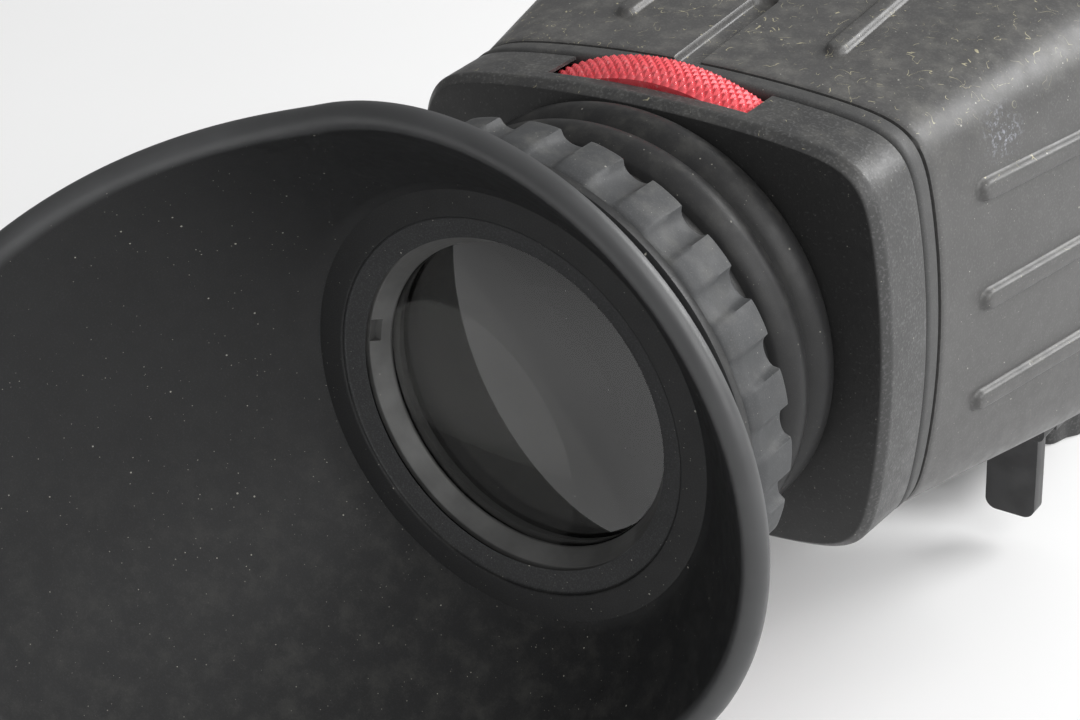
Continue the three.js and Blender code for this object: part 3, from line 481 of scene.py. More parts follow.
def directions(stations, sides):
    """Directions round the axis, closer together at the corners of the widest station."""
    a, b, n = max(stations)[:3]
    power = 2 / min(n, CORNER_SPREAD)
    lean = lambda value: math.copysign(abs(value) ** power, value)
    turns = [2 * math.pi * step / sides for step in range(sides)]
    return [math.atan2(b * lean(math.sin(turn)), a * lean(math.cos(turn))) for turn in turns]


def turned(profile):
    """Stations of a turned piece, from its (radius, y) profile."""
    return [(r, r, 2, y, 0.0) for r, y in profile]


def upright():
    """The turn that stands a solid's own axis up."""
    return Matrix.Rotation(math.radians(90), 3, "X")


def along_x():
    """The turn that lays a solid's own axis across."""
    return Matrix.Rotation(math.radians(-90), 3, "Z")


def round_node(node, stands=False):
    """A round CAD node's radius and ends, and the turn and shift that put a solid on its axis."""
    low, high = span(node)
    middle = (low + high) / 2
    radius = (high.x - low.x) / 2
    if stands:
        return radius, low.z, high.z, upright(), (middle.x, middle.y, 0)
    return radius, low.y, high.y, Matrix.Identity(3), (middle.x, 0, middle.z)


def rounded(stations, radius, steps=4):
    """Rounds every corner of a closed profile of stations (a, b, n, y, bow)."""
    result = []
    for i, corner in enumerate(stations):
        if corner[0] == 0:
            result.append(corner)
            continue
        ends = []
        for other in (stations[i - 1], stations[(i + 1) % len(stations)]):
            length = math.hypot(other[0] - corner[0], other[3] - corner[3])
            share = min(0.48, radius / length) if length else 0
            ends.append([c + (o - c) * share for c, o in zip(corner, other)])
        for step in range(steps + 1):
            t = step / steps
            weights = ((1 - t) ** 2, 2 * t * (1 - t), t * t)
            points = zip(ends[0], corner, ends[1])
            result.append(tuple(sum(w * p for w, p in zip(weights, trio)) for trio in points))
    return result


def loft(stations, sides=ROUND, bend=None):
    """One ring of points for each station. bend(point, index) may move a point."""
    rings = []
    angles = directions(stations, sides)
    for index, (a, b, n, y, bow) in enumerate(stations):
        ring = []
        for angle in angles:
            reach = outline_reach(a, b, n, bow, angle) if a else 0
            point = (reach * math.cos(angle), y, reach * math.sin(angle))
            ring.append(bend(point, index) if bend else point)
        rings.append(ring)
    return rings


def solid(name, rings, turn=None, shift=(0, 0, 0), marks=None):
    """A closed skin over rings that each close, the last joined to the first.

    marks gives each ring a number, which a material can read as the attribute MARK.
    """
    sides = len(rings[0])
    points = [Vector(point) for ring in rings for point in ring]
    if turn is not None:
        points = [turn @ point for point in points]
    points = [in_row(*(point + Vector(shift))) for point in points]
    faces = []
    for i in range(len(rings)):
        here, there = i * sides, ((i + 1) % len(rings)) * sides
        for k in range(sides):
            following = (k + 1) % sides
            faces.append((here + k, here + following, there + following, there + k))
    mesh = bpy.data.meshes.new(name)
    mesh.from_pydata(points, [], faces)
    if marks:
        layer = mesh.attributes.new(MARK, "FLOAT", "POINT")
        layer.data.foreach_set("value", [mark for mark in marks for _ in range(sides)])
    tidy(mesh)
    piece = bpy.data.objects.new(name, mesh)
    scene.collection.objects.link(piece)
    return piece


def tidy(mesh):
    """Merges what coincides, drops faces with no area and turns every face outwards."""
    bm = bmesh.new()
    bm.from_mesh(mesh)
    bmesh.ops.remove_doubles(bm, verts=bm.verts, dist=1e-6)
    bmesh.ops.dissolve_degenerate(bm, dist=1e-7, edges=bm.edges)
    bmesh.ops.recalc_face_normals(bm, faces=bm.faces)
    bm.to_mesh(mesh)
    bm.free()


def block(name, x0, x1, y0, y1, z0, z1):
    """A rectangular cutter or web."""
    ring = lambda y: [(x0, y, z0), (x1, y, z0), (x1, y, z1), (x0, y, z1)]
    middle = ((x0 + x1) / 2, (z0 + z1) / 2)
    point = lambda y: [(middle[0], y, middle[1])] * 4
    return solid(name, [point(y0), ring(y0), ring(y1), point(y1)])


def turn_about_axis(piece, degrees):
    """Turns a piece about the optical axis."""
    centre = in_row(0, 0, 0)
    turn = Matrix.Rotation(math.radians(degrees), 4, "Y")
    piece.data.transform(Matrix.Translation(centre) @ turn @ Matrix.Translation(-centre))
    return piece


def disc(name, radius, y0, y1, sides=48, turn=None, shift=(0, 0, 0), edge=0.0):
    """A round rod or plate about its own axis, with rounded edges if edge says so."""
    stations = turned([(0, y0), (radius, y0), (radius, y1), (0, y1)])
    if edge:
        stations = rounded(stations, edge)
    return solid(name, loft(stations, sides), turn, shift)


def combine(piece, others, operation):
    """Joins other solids to a piece, or cuts them out of it, and drops them."""
    for other in others:
        modifier = piece.modifiers.new("combine", "BOOLEAN")
        modifier.operation = operation
        modifier.solver = "EXACT"
        modifier.object = other
    bpy.context.view_layer.update()
    evaluated = piece.evaluated_get(bpy.context.evaluated_depsgraph_get())
    made = bpy.data.meshes.new_from_object(evaluated)
    piece.modifiers.clear()
    piece.data = made
    tidy(piece.data)
    for other in others:
        bpy.data.objects.remove(other)
    return piece


def dressed(piece, node, sharp=38.0, look=None, rides=True):
    """Gives a piece its node's finish and body, and lets it stand for the node."""
    piece.data.materials.clear()
    piece.data.materials.append(look or LOOKS[SLOT_OF[node]])
    piece.data.shade_smooth()
    piece.data.set_sharp_from_angle(angle=math.radians(sharp))
    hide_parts(node)
    if rides:
        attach(piece, BODY_OF[node])
    return piece


def refined(node, edge):
    """A CAD piece of flat faces, with its edges rounded."""
    bm = bmesh.new()
    bm.from_mesh(frame["nodes"][node].data)
    bmesh.ops.remove_doubles(bm, verts=bm.verts, dist=1e-6)
    bmesh.ops.dissolve_limit(bm, angle_limit=math.radians(1), verts=bm.verts, edges=bm.edges)
    sharp = [e for e in bm.edges if e.is_manifold and e.calc_face_angle(0) > math.radians(40)]
    bmesh.ops.bevel(
        bm, geom=sharp, offset=edge * MM, segments=3, profile=0.5, affect="EDGES", clamp_overlap=True,
    )
    mesh = bpy.data.meshes.new(f"{node}_fine")
    bm.to_mesh(mesh)
    bm.free()
    piece = bpy.data.objects.new(f"{node}_fine", mesh)
    scene.collection.objects.link(piece)
    dressed(piece, node)


# ------------------------------------------------------------------ eyepiece


# The place of the rim and the bulge towards the eye, for each lens's front and back face.
LENSES = {
    "lens_front": ((0.0, 2.6), (2.4, -2.2)),
    "lens_rear": ((6.8, 1.8), (9.0, 0.0)),
}
RING = {"lip": 19.9, "lip_depth": 0.35, "bore": 20.45, "face": 21.5}
NOTCH = {"half_width": 1.1, "half_height": 1.6, "depth": 1.1, "turn": 12}
BARREL = {"seat": 21.3, "bore": 21.5, "shoulder": 18.8, "shoulder_front": 9.3, "shoulder_back": 11}
KEYWAY = {"half": 1.3, "front": 26, "back": 44, "floor": 22.9, "count": 3}
FINE_EDGE = 0.12
# How far a cutter runs past the face that it cuts.
THROUGH = 1


def lens_face(radius, rim_y, bulge, steps=16):
    """Half the section of a spherical or flat face, from the axis to the rim."""
    if not bulge:
        return [(0, rim_y), (radius, rim_y)]
    sphere = (radius ** 2 + bulge ** 2) / (2 * abs(bulge))
    face = []
    for i in range(steps + 1):
        r = radius * i / steps
        rise = math.sqrt(sphere ** 2 - r ** 2) - (sphere - abs(bulge))
        face.append((r, rim_y - math.copysign(rise, bulge)))
    return face


def make_lenses():
    for node, look in (("lens_front", None), ("lens_rear", INNER_GLASS)):
        radius = span(node)[1].x
        front, back = (lens_face(radius, rim_y, bulge) for rim_y, bulge in LENSES[node])
        dressed(solid(f"{node}_fine", loft(turned(front + back[::-1]))), node, sharp=30, look=look)


def make_retaining_ring():
    low, high = span("retaining_ring")
    lip, lip_depth, bore, face = RING.values()
    profile = [(face, low.y), (high.x, low.y), (high.x, high.y), (lip, high.y), (lip, high.y - lip_depth)]
    ring = solid("retaining_ring_fine", loft(rounded(turned(profile), FINE_EDGE)))
    half, height, depth, turn = NOTCH.values()
    notches = []
    for x in (bore, -bore):
        notch = block("notch", x - half, x + half, low.y - THROUGH, low.y + depth, -height, height)
        notches.append(turn_about_axis(notch, turn))
    dressed(combine(ring, notches, "DIFFERENCE"), "retaining_ring", look=RING_METAL)


def make_barrel():
    low, high = span("lens_barrel")
    seat, bore, shoulder, front, back = BARREL.values()
    mouth = span("retaining_ring")[1].x + GAP
    profile = [
        (mouth, low.y), (high.x, low.y), (high.x, high.y), (bore, high.y), (bore, back),
        (shoulder, back), (shoulder, front), (seat, front), (seat, 0), (mouth, 0),
    ]
    barrel = solid("lens_barrel_fine", loft(rounded(turned(profile), FINE_EDGE, steps=2)))
    half, front, back, floor, count = KEYWAY.values()
    keyways = []
    for step in range(count):
        keyway = block("keyway", -half, half, front, back, floor, high.x + 2 * THROUGH)
        keyways.append(turn_about_axis(keyway, 360 / count * step))
    dressed(combine(barrel, keyways, "DIFFERENCE"), "lens_barrel")


# ------------------------------------------------------------------ eyecup

CUP = {"hole": 21.55, "step": 24.3, "floor": 28.1, "rim": 39.4, "wall": 2.1, "lip": 1.5}
CUP_Y = {"band": -4.0, "floor": -4.6, "rim": -16.5}
CUP_BASE_GROWTH = 0.35
CUP_STEPS = 22
LIP_STEPS = 10
CUP_SIDES = 256
CORNER_STEPS = 4
FLARE_CURVE = 1.15
WING_DIRECTION = math.radians(199)
WING = {"reach": 22.3, "sharpness": 1.75, "growth": 1.2}
WING_FORWARD = {"reach": 36.3, "sharpness": 2.0}


def flare(share, depth):
    """A point of the cup's wall: share 0 at its floor and 1 at its rim, depth from the inside."""
    widen, deepen = CUP["rim"] - CUP["floor"], CUP_Y["rim"] - CUP_Y["floor"]
    along = Vector((widen, deepen * FLARE_CURVE * max(share, 0.02) ** (FLARE_CURVE - 1))).normalized()
    outward = Vector((-along.y, along.x))
    inside = Vector((CUP["floor"] + widen * share, CUP_Y["floor"] + deepen * share ** FLARE_CURVE))
    return inside + outward * depth, along, outward


def make_eyecup():
    """The cup's profile, each point with its share of the flare, is turned and drawn to a wing."""
    points = [(CUP["hole"], CUP_Y["band"]), (CUP["step"], CUP_Y["band"]),
              (CUP["step"], CUP_Y["floor"]), (CUP["floor"], CUP_Y["floor"])]
    corners = rounded(turned(points), 0.35, CORNER_STEPS)
    # The hole's front corner is left to the skirt, which closes the profile there.
    profile = [((r, y), 0.0) for r, _, _, y, _ in corners[CORNER_STEPS + 1:]]
    for i in range(1, CUP_STEPS + 1):
        point = flare(i / CUP_STEPS, 0)[0]
        profile.append(((point.x, point.y), i / CUP_STEPS))
    lip = CUP["lip"]
    rim, along, outward = flare(1, lip)
    for i in range(1, LIP_STEPS):
        angle = math.pi * i / LIP_STEPS
        point = rim - outward * lip * math.cos(angle) + along * lip * math.sin(angle)
        profile.append(((point.x, point.y), 1.0))
    for i in range(CUP_STEPS, 2, -1):
        thick = CUP["wall"] * (1 + CUP_BASE_GROWTH * (1 - i / CUP_STEPS))
        point = flare(i / CUP_STEPS, thick)[0]
        profile.append(((point.x, point.y), i / CUP_STEPS))
    flange, back, bore, front = 33.3, -2.8, 24.5, -3.3
    skirt = [(31.2, -5.0), (flange - 0.6, -4.9), (flange, -4.4), (flange, -3.3), (flange - 0.5, back),
             (bore, back), (bore, front), (CUP["hole"] + 0.2, front), (CUP["hole"], front - 0.2)]
    profile += [(point, 0.0) for point in skirt]

    def wing(point, index):
        x, y, z = point
        share = profile[index][1] ** WING["growth"]
        r = math.hypot(x, z)
        side = max(0.0, (x * math.cos(WING_DIRECTION) + z * math.sin(WING_DIRECTION)) / r)
        grow = 1 + WING["reach"] * side ** WING["sharpness"] * share / r
        forward = WING_FORWARD["reach"] * side ** WING_FORWARD["sharpness"] * share
        return x * grow, y - forward, z * grow

    stations = turned([point for point, _ in profile])
    # The lip's rings are marked, for the painted highlight that the cup's look puts there.
    marks = [1.0 if share >= 1.0 else 0.0 for _, share in profile]
    cup = solid("eyecup_fine", loft(stations, CUP_SIDES, wing), marks=marks)
    dressed(cup, "eyecup", sharp=50, look=CUP_RUBBER)


# A pad between two flutes is this share of a lobe wide to each side of its middle.
COLLAR = {"lobes": 24, "pad": 0.26, "depth": 1.3, "first": math.radians(-2), "bore": 24.5}
COLLAR_ROW = 0.7
LOBE_SIDES = 24


def make_collar():
    low, high = span("eyecup_collar")
    lobes, pad, depth, first, bore = COLLAR.values()
    profile = [(bore, low.y), (high.x - 1.6, low.y), (high.x - 0.4, low.y + 1.0), (high.x, low.y + 2.6),
               (high.x, high.y - 0.2), (high.x - 1.4, high.y), (bore, high.y)]
    stations = rounded(turned(profile), 0.45)
    length = high.y - low.y

    def flute(point, index):
        x, y, z = point
        r = math.hypot(x, z)
        if r < high.x - 3.2:
            return point
        turn = lobes * (math.atan2(z, x) - first) / (2 * math.pi)
        from_pad = abs(turn - round(turn))
        if from_pad <= pad:
            crown = 0.1 * (from_pad / pad) ** 4
            return x * (r - crown) / r, y, z * (r - crown) / r
        u = (0.5 - from_pad) / (0.5 - pad)
        ramp = min(1.0, max(0.0, (y - low.y - 0.6) / (0.75 * length)))
        cut = 0.1 + depth * (1 - u * u) ** 0.45 * (0.25 + 0.75 * ramp)
        return x * (r - cut) / r, y, z * (r - cut) / r

    dense = []
    for a, b in zip(stations, stations[1:] + stations[:1]):
        parts = max(1, round(math.hypot(b[0] - a[0], b[3] - a[3]) / COLLAR_ROW))
        for part in range(parts):
            dense.append(tuple(p + (q - p) * part / parts for p, q in zip(a, b)))
    rings = loft(dense, lobes * LOBE_SIDES, flute)
    dressed(solid("eyecup_collar_fine", rings), "eyecup_collar", sharp=48)


# A fold's section is a cosine raised to fullness, which makes its crest broad.
BELLOWS = {"crest": 15.4, "pitch": 6.1, "neck": 26.4, "valley": 26.5, "height": 2.25, "wall": 1.1}
FULLNESS = 0.62


def make_bellows():
    low, high = span("bellows")
    crest, pitch, neck, valley, height, wall = BELLOWS.values()
    outside = [(neck, low.y), (neck, crest - pitch / 2)]
    steps = 44
    for i in range(1, steps + 1):
        y = crest - pitch / 2 + (high.y - crest + pitch / 2) * i / steps
        wave = abs(math.cos(math.pi * (y - crest) / pitch))
        outside.append((valley + height * wave ** FULLNESS, y))
    inside = [(r - wall, y) for r, y in reversed(outside)]
    piece = solid("bellows_fine", loft(turned(outside + inside)))
    dressed(piece, "bellows", sharp=60, rides=False)
    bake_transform(piece)


# ------------------------------------------------------------------ cap, bead and wheel

CAP_CORNER = 12
CAP_BOW = 0.11
CAP_FACE = (34.0, 28.1)
CAP_EDGE = (34.8, 29.0)
CAP_WALL = 2.0
CAP_BEVEL = 1.2
CAP_SIDES = 336
SLOT = {"half": 14.3, "front": 27.3, "inner": 20}


def make_cap():
    low, high = span("housing_cap")
    hole = span("lens_barrel")[1].x + 2 * GAP
    seam = (high.x, high.z)
    inset = lambda size: tuple(side - CAP_WALL for side in size)
    section = lambda size, y: (*size, CAP_CORNER, y, CAP_BOW)
    round_hole = lambda y: (hole, hole, 2, y, 0.0)
    stations = [
        round_hole(low.y), section(CAP_FACE, low.y), section(CAP_EDGE, low.y + CAP_BEVEL),
        section(seam, high.y), section(inset(seam), high.y),
        section(inset(CAP_EDGE), low.y + CAP_WALL), round_hole(low.y + CAP_WALL),
    ]
    cap = solid("housing_cap_fine", loft(rounded(stations, 0.35), CAP_SIDES))
    half, front, inner = SLOT.values()
    past = high.y + THROUGH
    reach = high.z + 5 * THROUGH
    wheel = span("diopter_wheel")[1].x
    cutters = [
        block("slot", -half, half, front, past, inner, reach),
        block("slot", -half, half, front, past, -reach, -inner),
        disc("relief", wheel + GAP, front, past, sides=128),
    ]
    dressed(combine(cap, cutters, "DIFFERENCE"), "housing_cap", sharp=30)


# The bead's back edge stands this far behind its CAD node's.
BEAD_BACK = 0.2
BEAD_WALL = 2.2


def make_bead():
    low, high = span("seam_bead")
    wall, front, back = BEAD_WALL, low.y, high.y + BEAD_BACK
    section = lambda inset, y: (high.x - inset, high.z - inset, CAP_CORNER, y, CAP_BOW)
    stations = [section(0, front), section(0, back), section(wall, back), section(wall, front)]
    bead = solid("seam_bead_fine", loft(rounded(stations, 0.9, steps=6), CAP_SIDES))
    dressed(bead, "seam_bead", sharp=50, look=BEAD_RUBBER)


# The wheel's knurl starts low at its front edge and crowns up to the rim.
WHEEL_INNER = 27.3
WHEEL_CROWN = {"face": 29.6, "start": 30.1, "start_y": 28.2, "full_y": 30.4}
# The teeth round the wheel, their depth, how steep their sides are, and the points for each tooth.
KNURL = {"teeth": 152, "depth": 0.36, "steepness": 1.45, "fine": 8}


def wheel_radius(y, outer):
    """The radius over the teeth at a place along the axis."""
    start, full = WHEEL_CROWN["start_y"], WHEEL_CROWN["full_y"]
    rise = min(1.0, (y - start) / (full - start))
    return outer - (outer - WHEEL_CROWN["start"]) * (1 - math.sin(math.pi / 2 * rise))


def make_wheel():
    low, high = span("diopter_wheel")
    outer = high.x
    teeth, depth, steepness, fine = KNURL.values()
    pitch = 2 * math.pi * outer / teeth
    front, back = WHEEL_CROWN["start_y"], high.y - 0.2
    rows = round((back - front) / pitch * fine)
    places = [front + pitch / fine * i for i in range(rows + 1)]
    profile = [(WHEEL_INNER, low.y), (WHEEL_CROWN["face"], low.y)]
    first = len(profile)
    profile += [(wheel_radius(y, outer), y) for y in places]
    profile += [(outer - depth, high.y - 0.05), (WHEEL_INNER, high.y)]

    def knurl(point, index):
        if not first <= index < first + len(places):
            return point
        x, y, z = point
        around = math.atan2(z, x) * outer / pitch
        along = (y - front) / pitch
        height = min(abs(((around + along) % 1) - 0.5), abs(((around - along) % 1) - 0.5)) * 2
        sink = depth * (1 - min(1.0, steepness * height))
        scale = 1 - sink / math.hypot(x, z)
        return x * scale, y, z * scale

    rings = loft(turned(profile), teeth * fine, knurl)
    dressed(solid("diopter_wheel_fine", rings), "diopter_wheel", sharp=14)


# ------------------------------------------------------------------ hood

# Half width, half height, exponent of the corners, and bow of the sides.
HOOD_FRONT = (35.4, 29.4, 12, CAP_BOW)
HOOD_BACK = (44.4, 33.5, 6.4, 0.0)
HOOD_WALL = 2.0
HOOD_START = 37.0
HOOD_FRONT_WALL = 39.0
HOOD_HOLE = 25.0
HOOD_INNER_CORNER = 0.6
# The front edge turns in by this much over this length.
HOOD_EDGE = {"turn_in": 0.15, "length": 0.4}
RIB = {"half": 1.3, "height": 1.0, "end": 78.0, "soft": 0.55}
SIDE_RIBS = {"start": 44.5, "heights": (16.0, 1.5, -13.0)}
TOP_RIBS = {"start": 45.5, "places": (-15.4, 15.4)}
TOP_CHANNEL = {"half": 1.8, "depth": 1.4, "end": 57.0, "wall": 0.4}


def hood_size(y, inset=0.0):
    """The hood's outline at a place along the axis, or one that lies inside it."""
    low, high = span("hood_shell")
    t = (y - low.y) / (high.y - low.y)
    a, b, n, bow = (front + (back - front) * t for front, back in zip(HOOD_FRONT, HOOD_BACK))
    return a - inset, b - inset, n, bow


def dense_places(limit, step, centres, reaches):
    """Places from 0 to a limit, with more of them at both edges of each rib."""
    places = {round(i * step, 3) for i in range(int(limit / step) + 1)}
    for centre in centres:
        for reach in reaches:
            places |= {round(abs(centre + reach), 3), round(abs(centre - reach), 3)}
    kept = []
    for place in sorted(p for p in places if p <= limit):
        if not kept or place - kept[-1] > 0.08:
            kept.append(place)
    return kept


RIB_REACHES = (0.0, 0.4, 0.75, 0.95, 1.15, 1.3, 1.5, 1.6, 1.7, 1.8, 1.9, 2.0)
FLANK = dense_places(21.0, 2.5, SIDE_RIBS["heights"], RIB_REACHES)
CROWN = dense_places(25.0, 2.5, (0.0, *TOP_RIBS["places"]), RIB_REACHES)
HOOD_CORNER_STEPS = 18


def hood_outline(a, b, n, bow):
    """A ring whose points keep their height on the flanks and their place across on the top."""
    side = lambda z: solve(a, lambda x: is_outside(a, b, n, bow, x, z))
    crown = lambda x: solve(b, lambda z: is_outside(a, b, n, bow, x, z))
    quarter = [(side(z), z) for z in FLANK]
    start = math.atan2(FLANK[-1], side(FLANK[-1]))
    end = math.atan2(crown(CROWN[-1]), CROWN[-1])
    for i in range(1, HOOD_CORNER_STEPS):
        angle = start + (end - start) * i / HOOD_CORNER_STEPS
        reach = outline_reach(a, b, n, bow, angle)
        quarter.append((reach * math.cos(angle), reach * math.sin(angle)))
    quarter += [(x, crown(x)) for x in reversed(CROWN)]
    ring = list(quarter)
    ring += [(-x, z) for x, z in reversed(quarter[:-1])]
    ring += [(-x, -z) for x, z in quarter[1:]]
    ring += [(x, -z) for x, z in reversed(quarter[1:-1])]
    return ring


def raised(distance, half, height):
    """The height of a rib's rounded section at a distance from its middle line."""
    edge = (half + RIB["soft"] / 2 - distance) / RIB["soft"]
    edge = min(1.0, max(0.0, edge))
    crown = 1 - 0.18 * min(1.0, distance / half) ** 2
    return height * crown * edge * edge * (3 - 2 * edge)


def channel_depth(x, y):
    """How far a point of the hood's top is sunk by the channel along its middle."""
    half, wall = TOP_CHANNEL["half"], TOP_CHANNEL["wall"]
    distance = math.hypot(x, max(y - TOP_CHANNEL["end"] + half, 0.0))
    edge = min(1.0, max(0.0, (half + wall / 2 - distance) / wall))
    bowl = 1 - 0.3 * min(1.0, distance / half) ** 2
    return TOP_CHANNEL["depth"] * bowl * edge * edge * (3 - 2 * edge)


def rib_height(x, y, z, on_top):
    """How far a point of the hood's outside is raised by the nearest rib."""
    if on_top:
        start, middles = TOP_RIBS["start"], [x - place for place in TOP_RIBS["places"]]
    else:
        start, middles = SIDE_RIBS["start"], [z - height for height in SIDE_RIBS["heights"]]
    half = RIB["half"]
    past = max(start + half - y, y - RIB["end"] + half, 0.0)
    best = max(raised(math.hypot(across, past), half, RIB["height"]) for across in middles)
    return best - channel_depth(x, y) if on_top else best


def hood_rows(back):
    """The places along the axis of the hood's rings, closer together where ribs start and end."""
    rows = {back, HOOD_START, 37.15, 37.4, 37.9}
    rows |= {38.5 + 2.5 * i for i in range(18)}
    for start in (SIDE_RIBS["start"], TOP_RIBS["start"], RIB["end"] - 1, TOP_CHANNEL["end"] - 1):
        rows |= {round(start + 0.25 * i, 3) for i in range(-4, 8)}
    return sorted(y for y in rows if HOOD_START <= y <= back)


def make_hood():
    back = span("hood_shell")[1].y
    rings = []
    for y in hood_rows(back):
        a, b, n, bow = hood_size(y)
        turn_in = HOOD_EDGE["turn_in"] * max(0.0, 1 - (y - HOOD_START) / HOOD_EDGE["length"]) ** 2
        ring = []
        for x, z in hood_outline(a - turn_in, b - turn_in, n, bow):
            on_top = z > 0 and abs(x) < CROWN[-1]
            on_side = abs(z) < FLANK[-1]
            lift = rib_height(x, y, z, on_top) if on_top or on_side else 0.0
            ring.append((x, y, z + lift) if on_top else (x + math.copysign(lift, x), y, z))
        rings.append(ring)
    for y in (back, (back + HOOD_FRONT_WALL) / 2, HOOD_FRONT_WALL + HOOD_INNER_CORNER):
        rings.append([(x, y, z) for x, z in hood_outline(*hood_size(y, HOOD_WALL))])
    inner = hood_outline(*hood_size(HOOD_FRONT_WALL, HOOD_WALL + HOOD_INNER_CORNER))
    rings.append([(x, HOOD_FRONT_WALL, z) for x, z in inner])
    angles = [math.atan2(z, x) for x, z in inner]
    for y in (HOOD_FRONT_WALL, HOOD_START):
        rings.append([(HOOD_HOLE * math.cos(angle), y, HOOD_HOLE * math.sin(angle)) for angle in angles])
    dressed(solid("hood_shell_fine", rings), "hood_shell", sharp=46)


def make_feet():
    for side in ("left", "right"):
        node = f"hood_foot_{side}"
        radius, first, last, turn, shift = round_node(node, stands=True)
        foot = disc(f"{node}_fine", radius, first, last, sides=64, turn=turn, shift=shift, edge=0.8)
        dressed(foot, node)


# ------------------------------------------------------------------ frames and hinge

# Half width, half height and exponent of the corners.
WINDOW = (36.0, 26.5, 9)
REAR_FRAME = (44.6, 33.8, 6.4)
SCREEN_FRAME = (45.0, 34.4, 6.8)
# Where the two plates meet along the axis, and the back of the screen frame.
PLATES = {"rear_back": 87.0, "screen_front": 87.4, "screen_back": 91.0}
HINGE = {"y": 87.2, "z": 37.4, "r": 2.6, "hole": 1.45, "web_z": 32.2, "half": 9.7, "outer": 16.0}
# A magnet or keeper has this much room round it and behind it.
POCKET = {"round": 0.15, "behind": 0.1}
SCREW_SINK = {"r": 2.4, "depth": 1.4}


def framed(node, outline, window, edge):
    """A rounded outline round a rounded window, as deep as the node with its hinge knuckles."""
    low, high = span(node)
    places = ((outline, low.y), (outline, high.y), (window, high.y), (window, low.y))
    stations = [(*section, y, 0.0) for section, y in places]
    return solid(f"{node}_fine", loft(rounded(stations, edge), 288))


def on_hinge(name, radius, x0, x1, edge=0.0):
    """A round piece along the hinge's axis."""
    return disc(name, radius, x0, x1, turn=along_x(), shift=(0, HINGE["y"], HINGE["z"]), edge=edge)


def knuckle(x0, x1, web_front, web_back):
    """The parts of a hinge leaf: a barrel, and the web that joins it to its frame."""
    barrel = on_hinge("knuckle", HINGE["r"], x0, x1, edge=0.2)
    web = block("web", x0 + 0.05, x1 - 0.05, web_front, web_back, HINGE["web_z"], HINGE["z"])
    return [barrel, web]


def make_rear_frame():
    node = "hood_rear_frame"
    back, half = PLATES["rear_back"], HINGE["half"]
    piece = framed(node, REAR_FRAME, WINDOW, 0.4)
    combine(piece, knuckle(-half, half, span(node)[0].y, back - GAP), "UNION")
    cutters = [on_hinge("pin_hole", HINGE["hole"], -12, 12)]
    for side in ("left", "right"):
        radius, first, _, _, shift = round_node(f"hood_magnet_{side}")
        radius += POCKET["round"]
        cutters.append(disc("pocket", radius, first - POCKET["behind"], back + THROUGH, shift=shift))
    for count in range(1, 5):
        _, _, last, _, shift = round_node(f"frame_screw_{count}")
        sink = disc("sink", SCREW_SINK["r"], last - SCREW_SINK["depth"], back + THROUGH, shift=shift)
        cutters.append(sink)
    dressed(combine(piece, cutters, "DIFFERENCE"), node, sharp=32)


def make_screen_frame():
    node = "screen_frame"
    front, back = PLATES["screen_front"], PLATES["screen_back"]
    inner, outer = HINGE["half"] + GAP, HINGE["outer"]
    piece = framed(node, SCREEN_FRAME, WINDOW, 0.4)
    leaves = knuckle(inner, outer, front + GAP, back) + knuckle(-outer, -inner, front + GAP, back)
    combine(piece, leaves, "UNION")
    cutters = [on_hinge("pin_hole", HINGE["hole"], -18, 18)]
    for side in ("left", "right"):
        radius, _, last, _, shift = round_node(f"frame_keeper_{side}")
        radius += POCKET["round"]
        cutters.append(disc("pocket", radius, front - THROUGH, last + POCKET["behind"], shift=shift))
    dressed(combine(piece, cutters, "DIFFERENCE"), node, sharp=32)


def make_gasket():
    high = span("screen_gasket")[1]
    window = (WINDOW[0] + 0.6, WINDOW[1] + 0.6, WINDOW[2])
    gasket = framed("screen_gasket", (high.x, high.z, 7), window, 0.7)
    dressed(gasket, "screen_gasket", sharp=60)


# ------------------------------------------------------------------ knobs, pins and screws


def lobed_knob(node, stands, lobes, depth, bore, boss=None):
    """A moulded knob with rounded lobes and a dished face, about its own axis.

    boss is the (radius, front end) of the narrower part behind its lobes.
    """
    radius, first, last, turn, shift = round_node(node, stands)
    dish, floor = 0.5, 2
    head = boss[1] if boss else last
    profile = [
        (0, first + dish), (radius * 0.55, first + dish), (radius * 0.7, first),
        (radius, first), (radius, head),
    ]
    if boss:
        profile += [(boss[0], head), (boss[0], last)]
    profile += [(bore, last), (bore, first + floor), (0, first + floor)]

    def lobe(point, _index):
        x, y, z = point
        r = math.hypot(x, z)
        if r < radius * 0.6:
            return point
        share = (r / radius - 0.6) / 0.4
        cut = depth * share * (0.5 - 0.5 * math.cos(lobes * math.atan2(z, x)))
        return x * (r - cut) / r, y, z * (r - cut) / r

    stations = rounded(turned(profile), 0.5)
    dressed(solid(f"{node}_fine", loft(stations, 210, lobe), turn, shift), node)


def threaded_rod(node, stands, pitch, edge=0.5):
    """A rod with a fine thread cut into it, as rings."""
    radius, first, last, turn, shift = round_node(node, stands)
    depth = 0.55 * pitch
    profile = [(0, first), (radius - edge, first)]
    turns = int((last - first - 2 * edge) / pitch)
    start = (first + last - turns * pitch) / 2
    for i in range(turns):
        profile.append((radius - depth, start + i * pitch))
        profile.append((radius, start + (i + 0.4) * pitch))
        profile.append((radius, start + (i + 0.6) * pitch))
    profile += [(radius - depth, start + turns * pitch), (radius - edge, last), (0, last)]
    dressed(solid(f"{node}_fine", loft(turned(profile), 64), turn, shift), node, sharp=25)


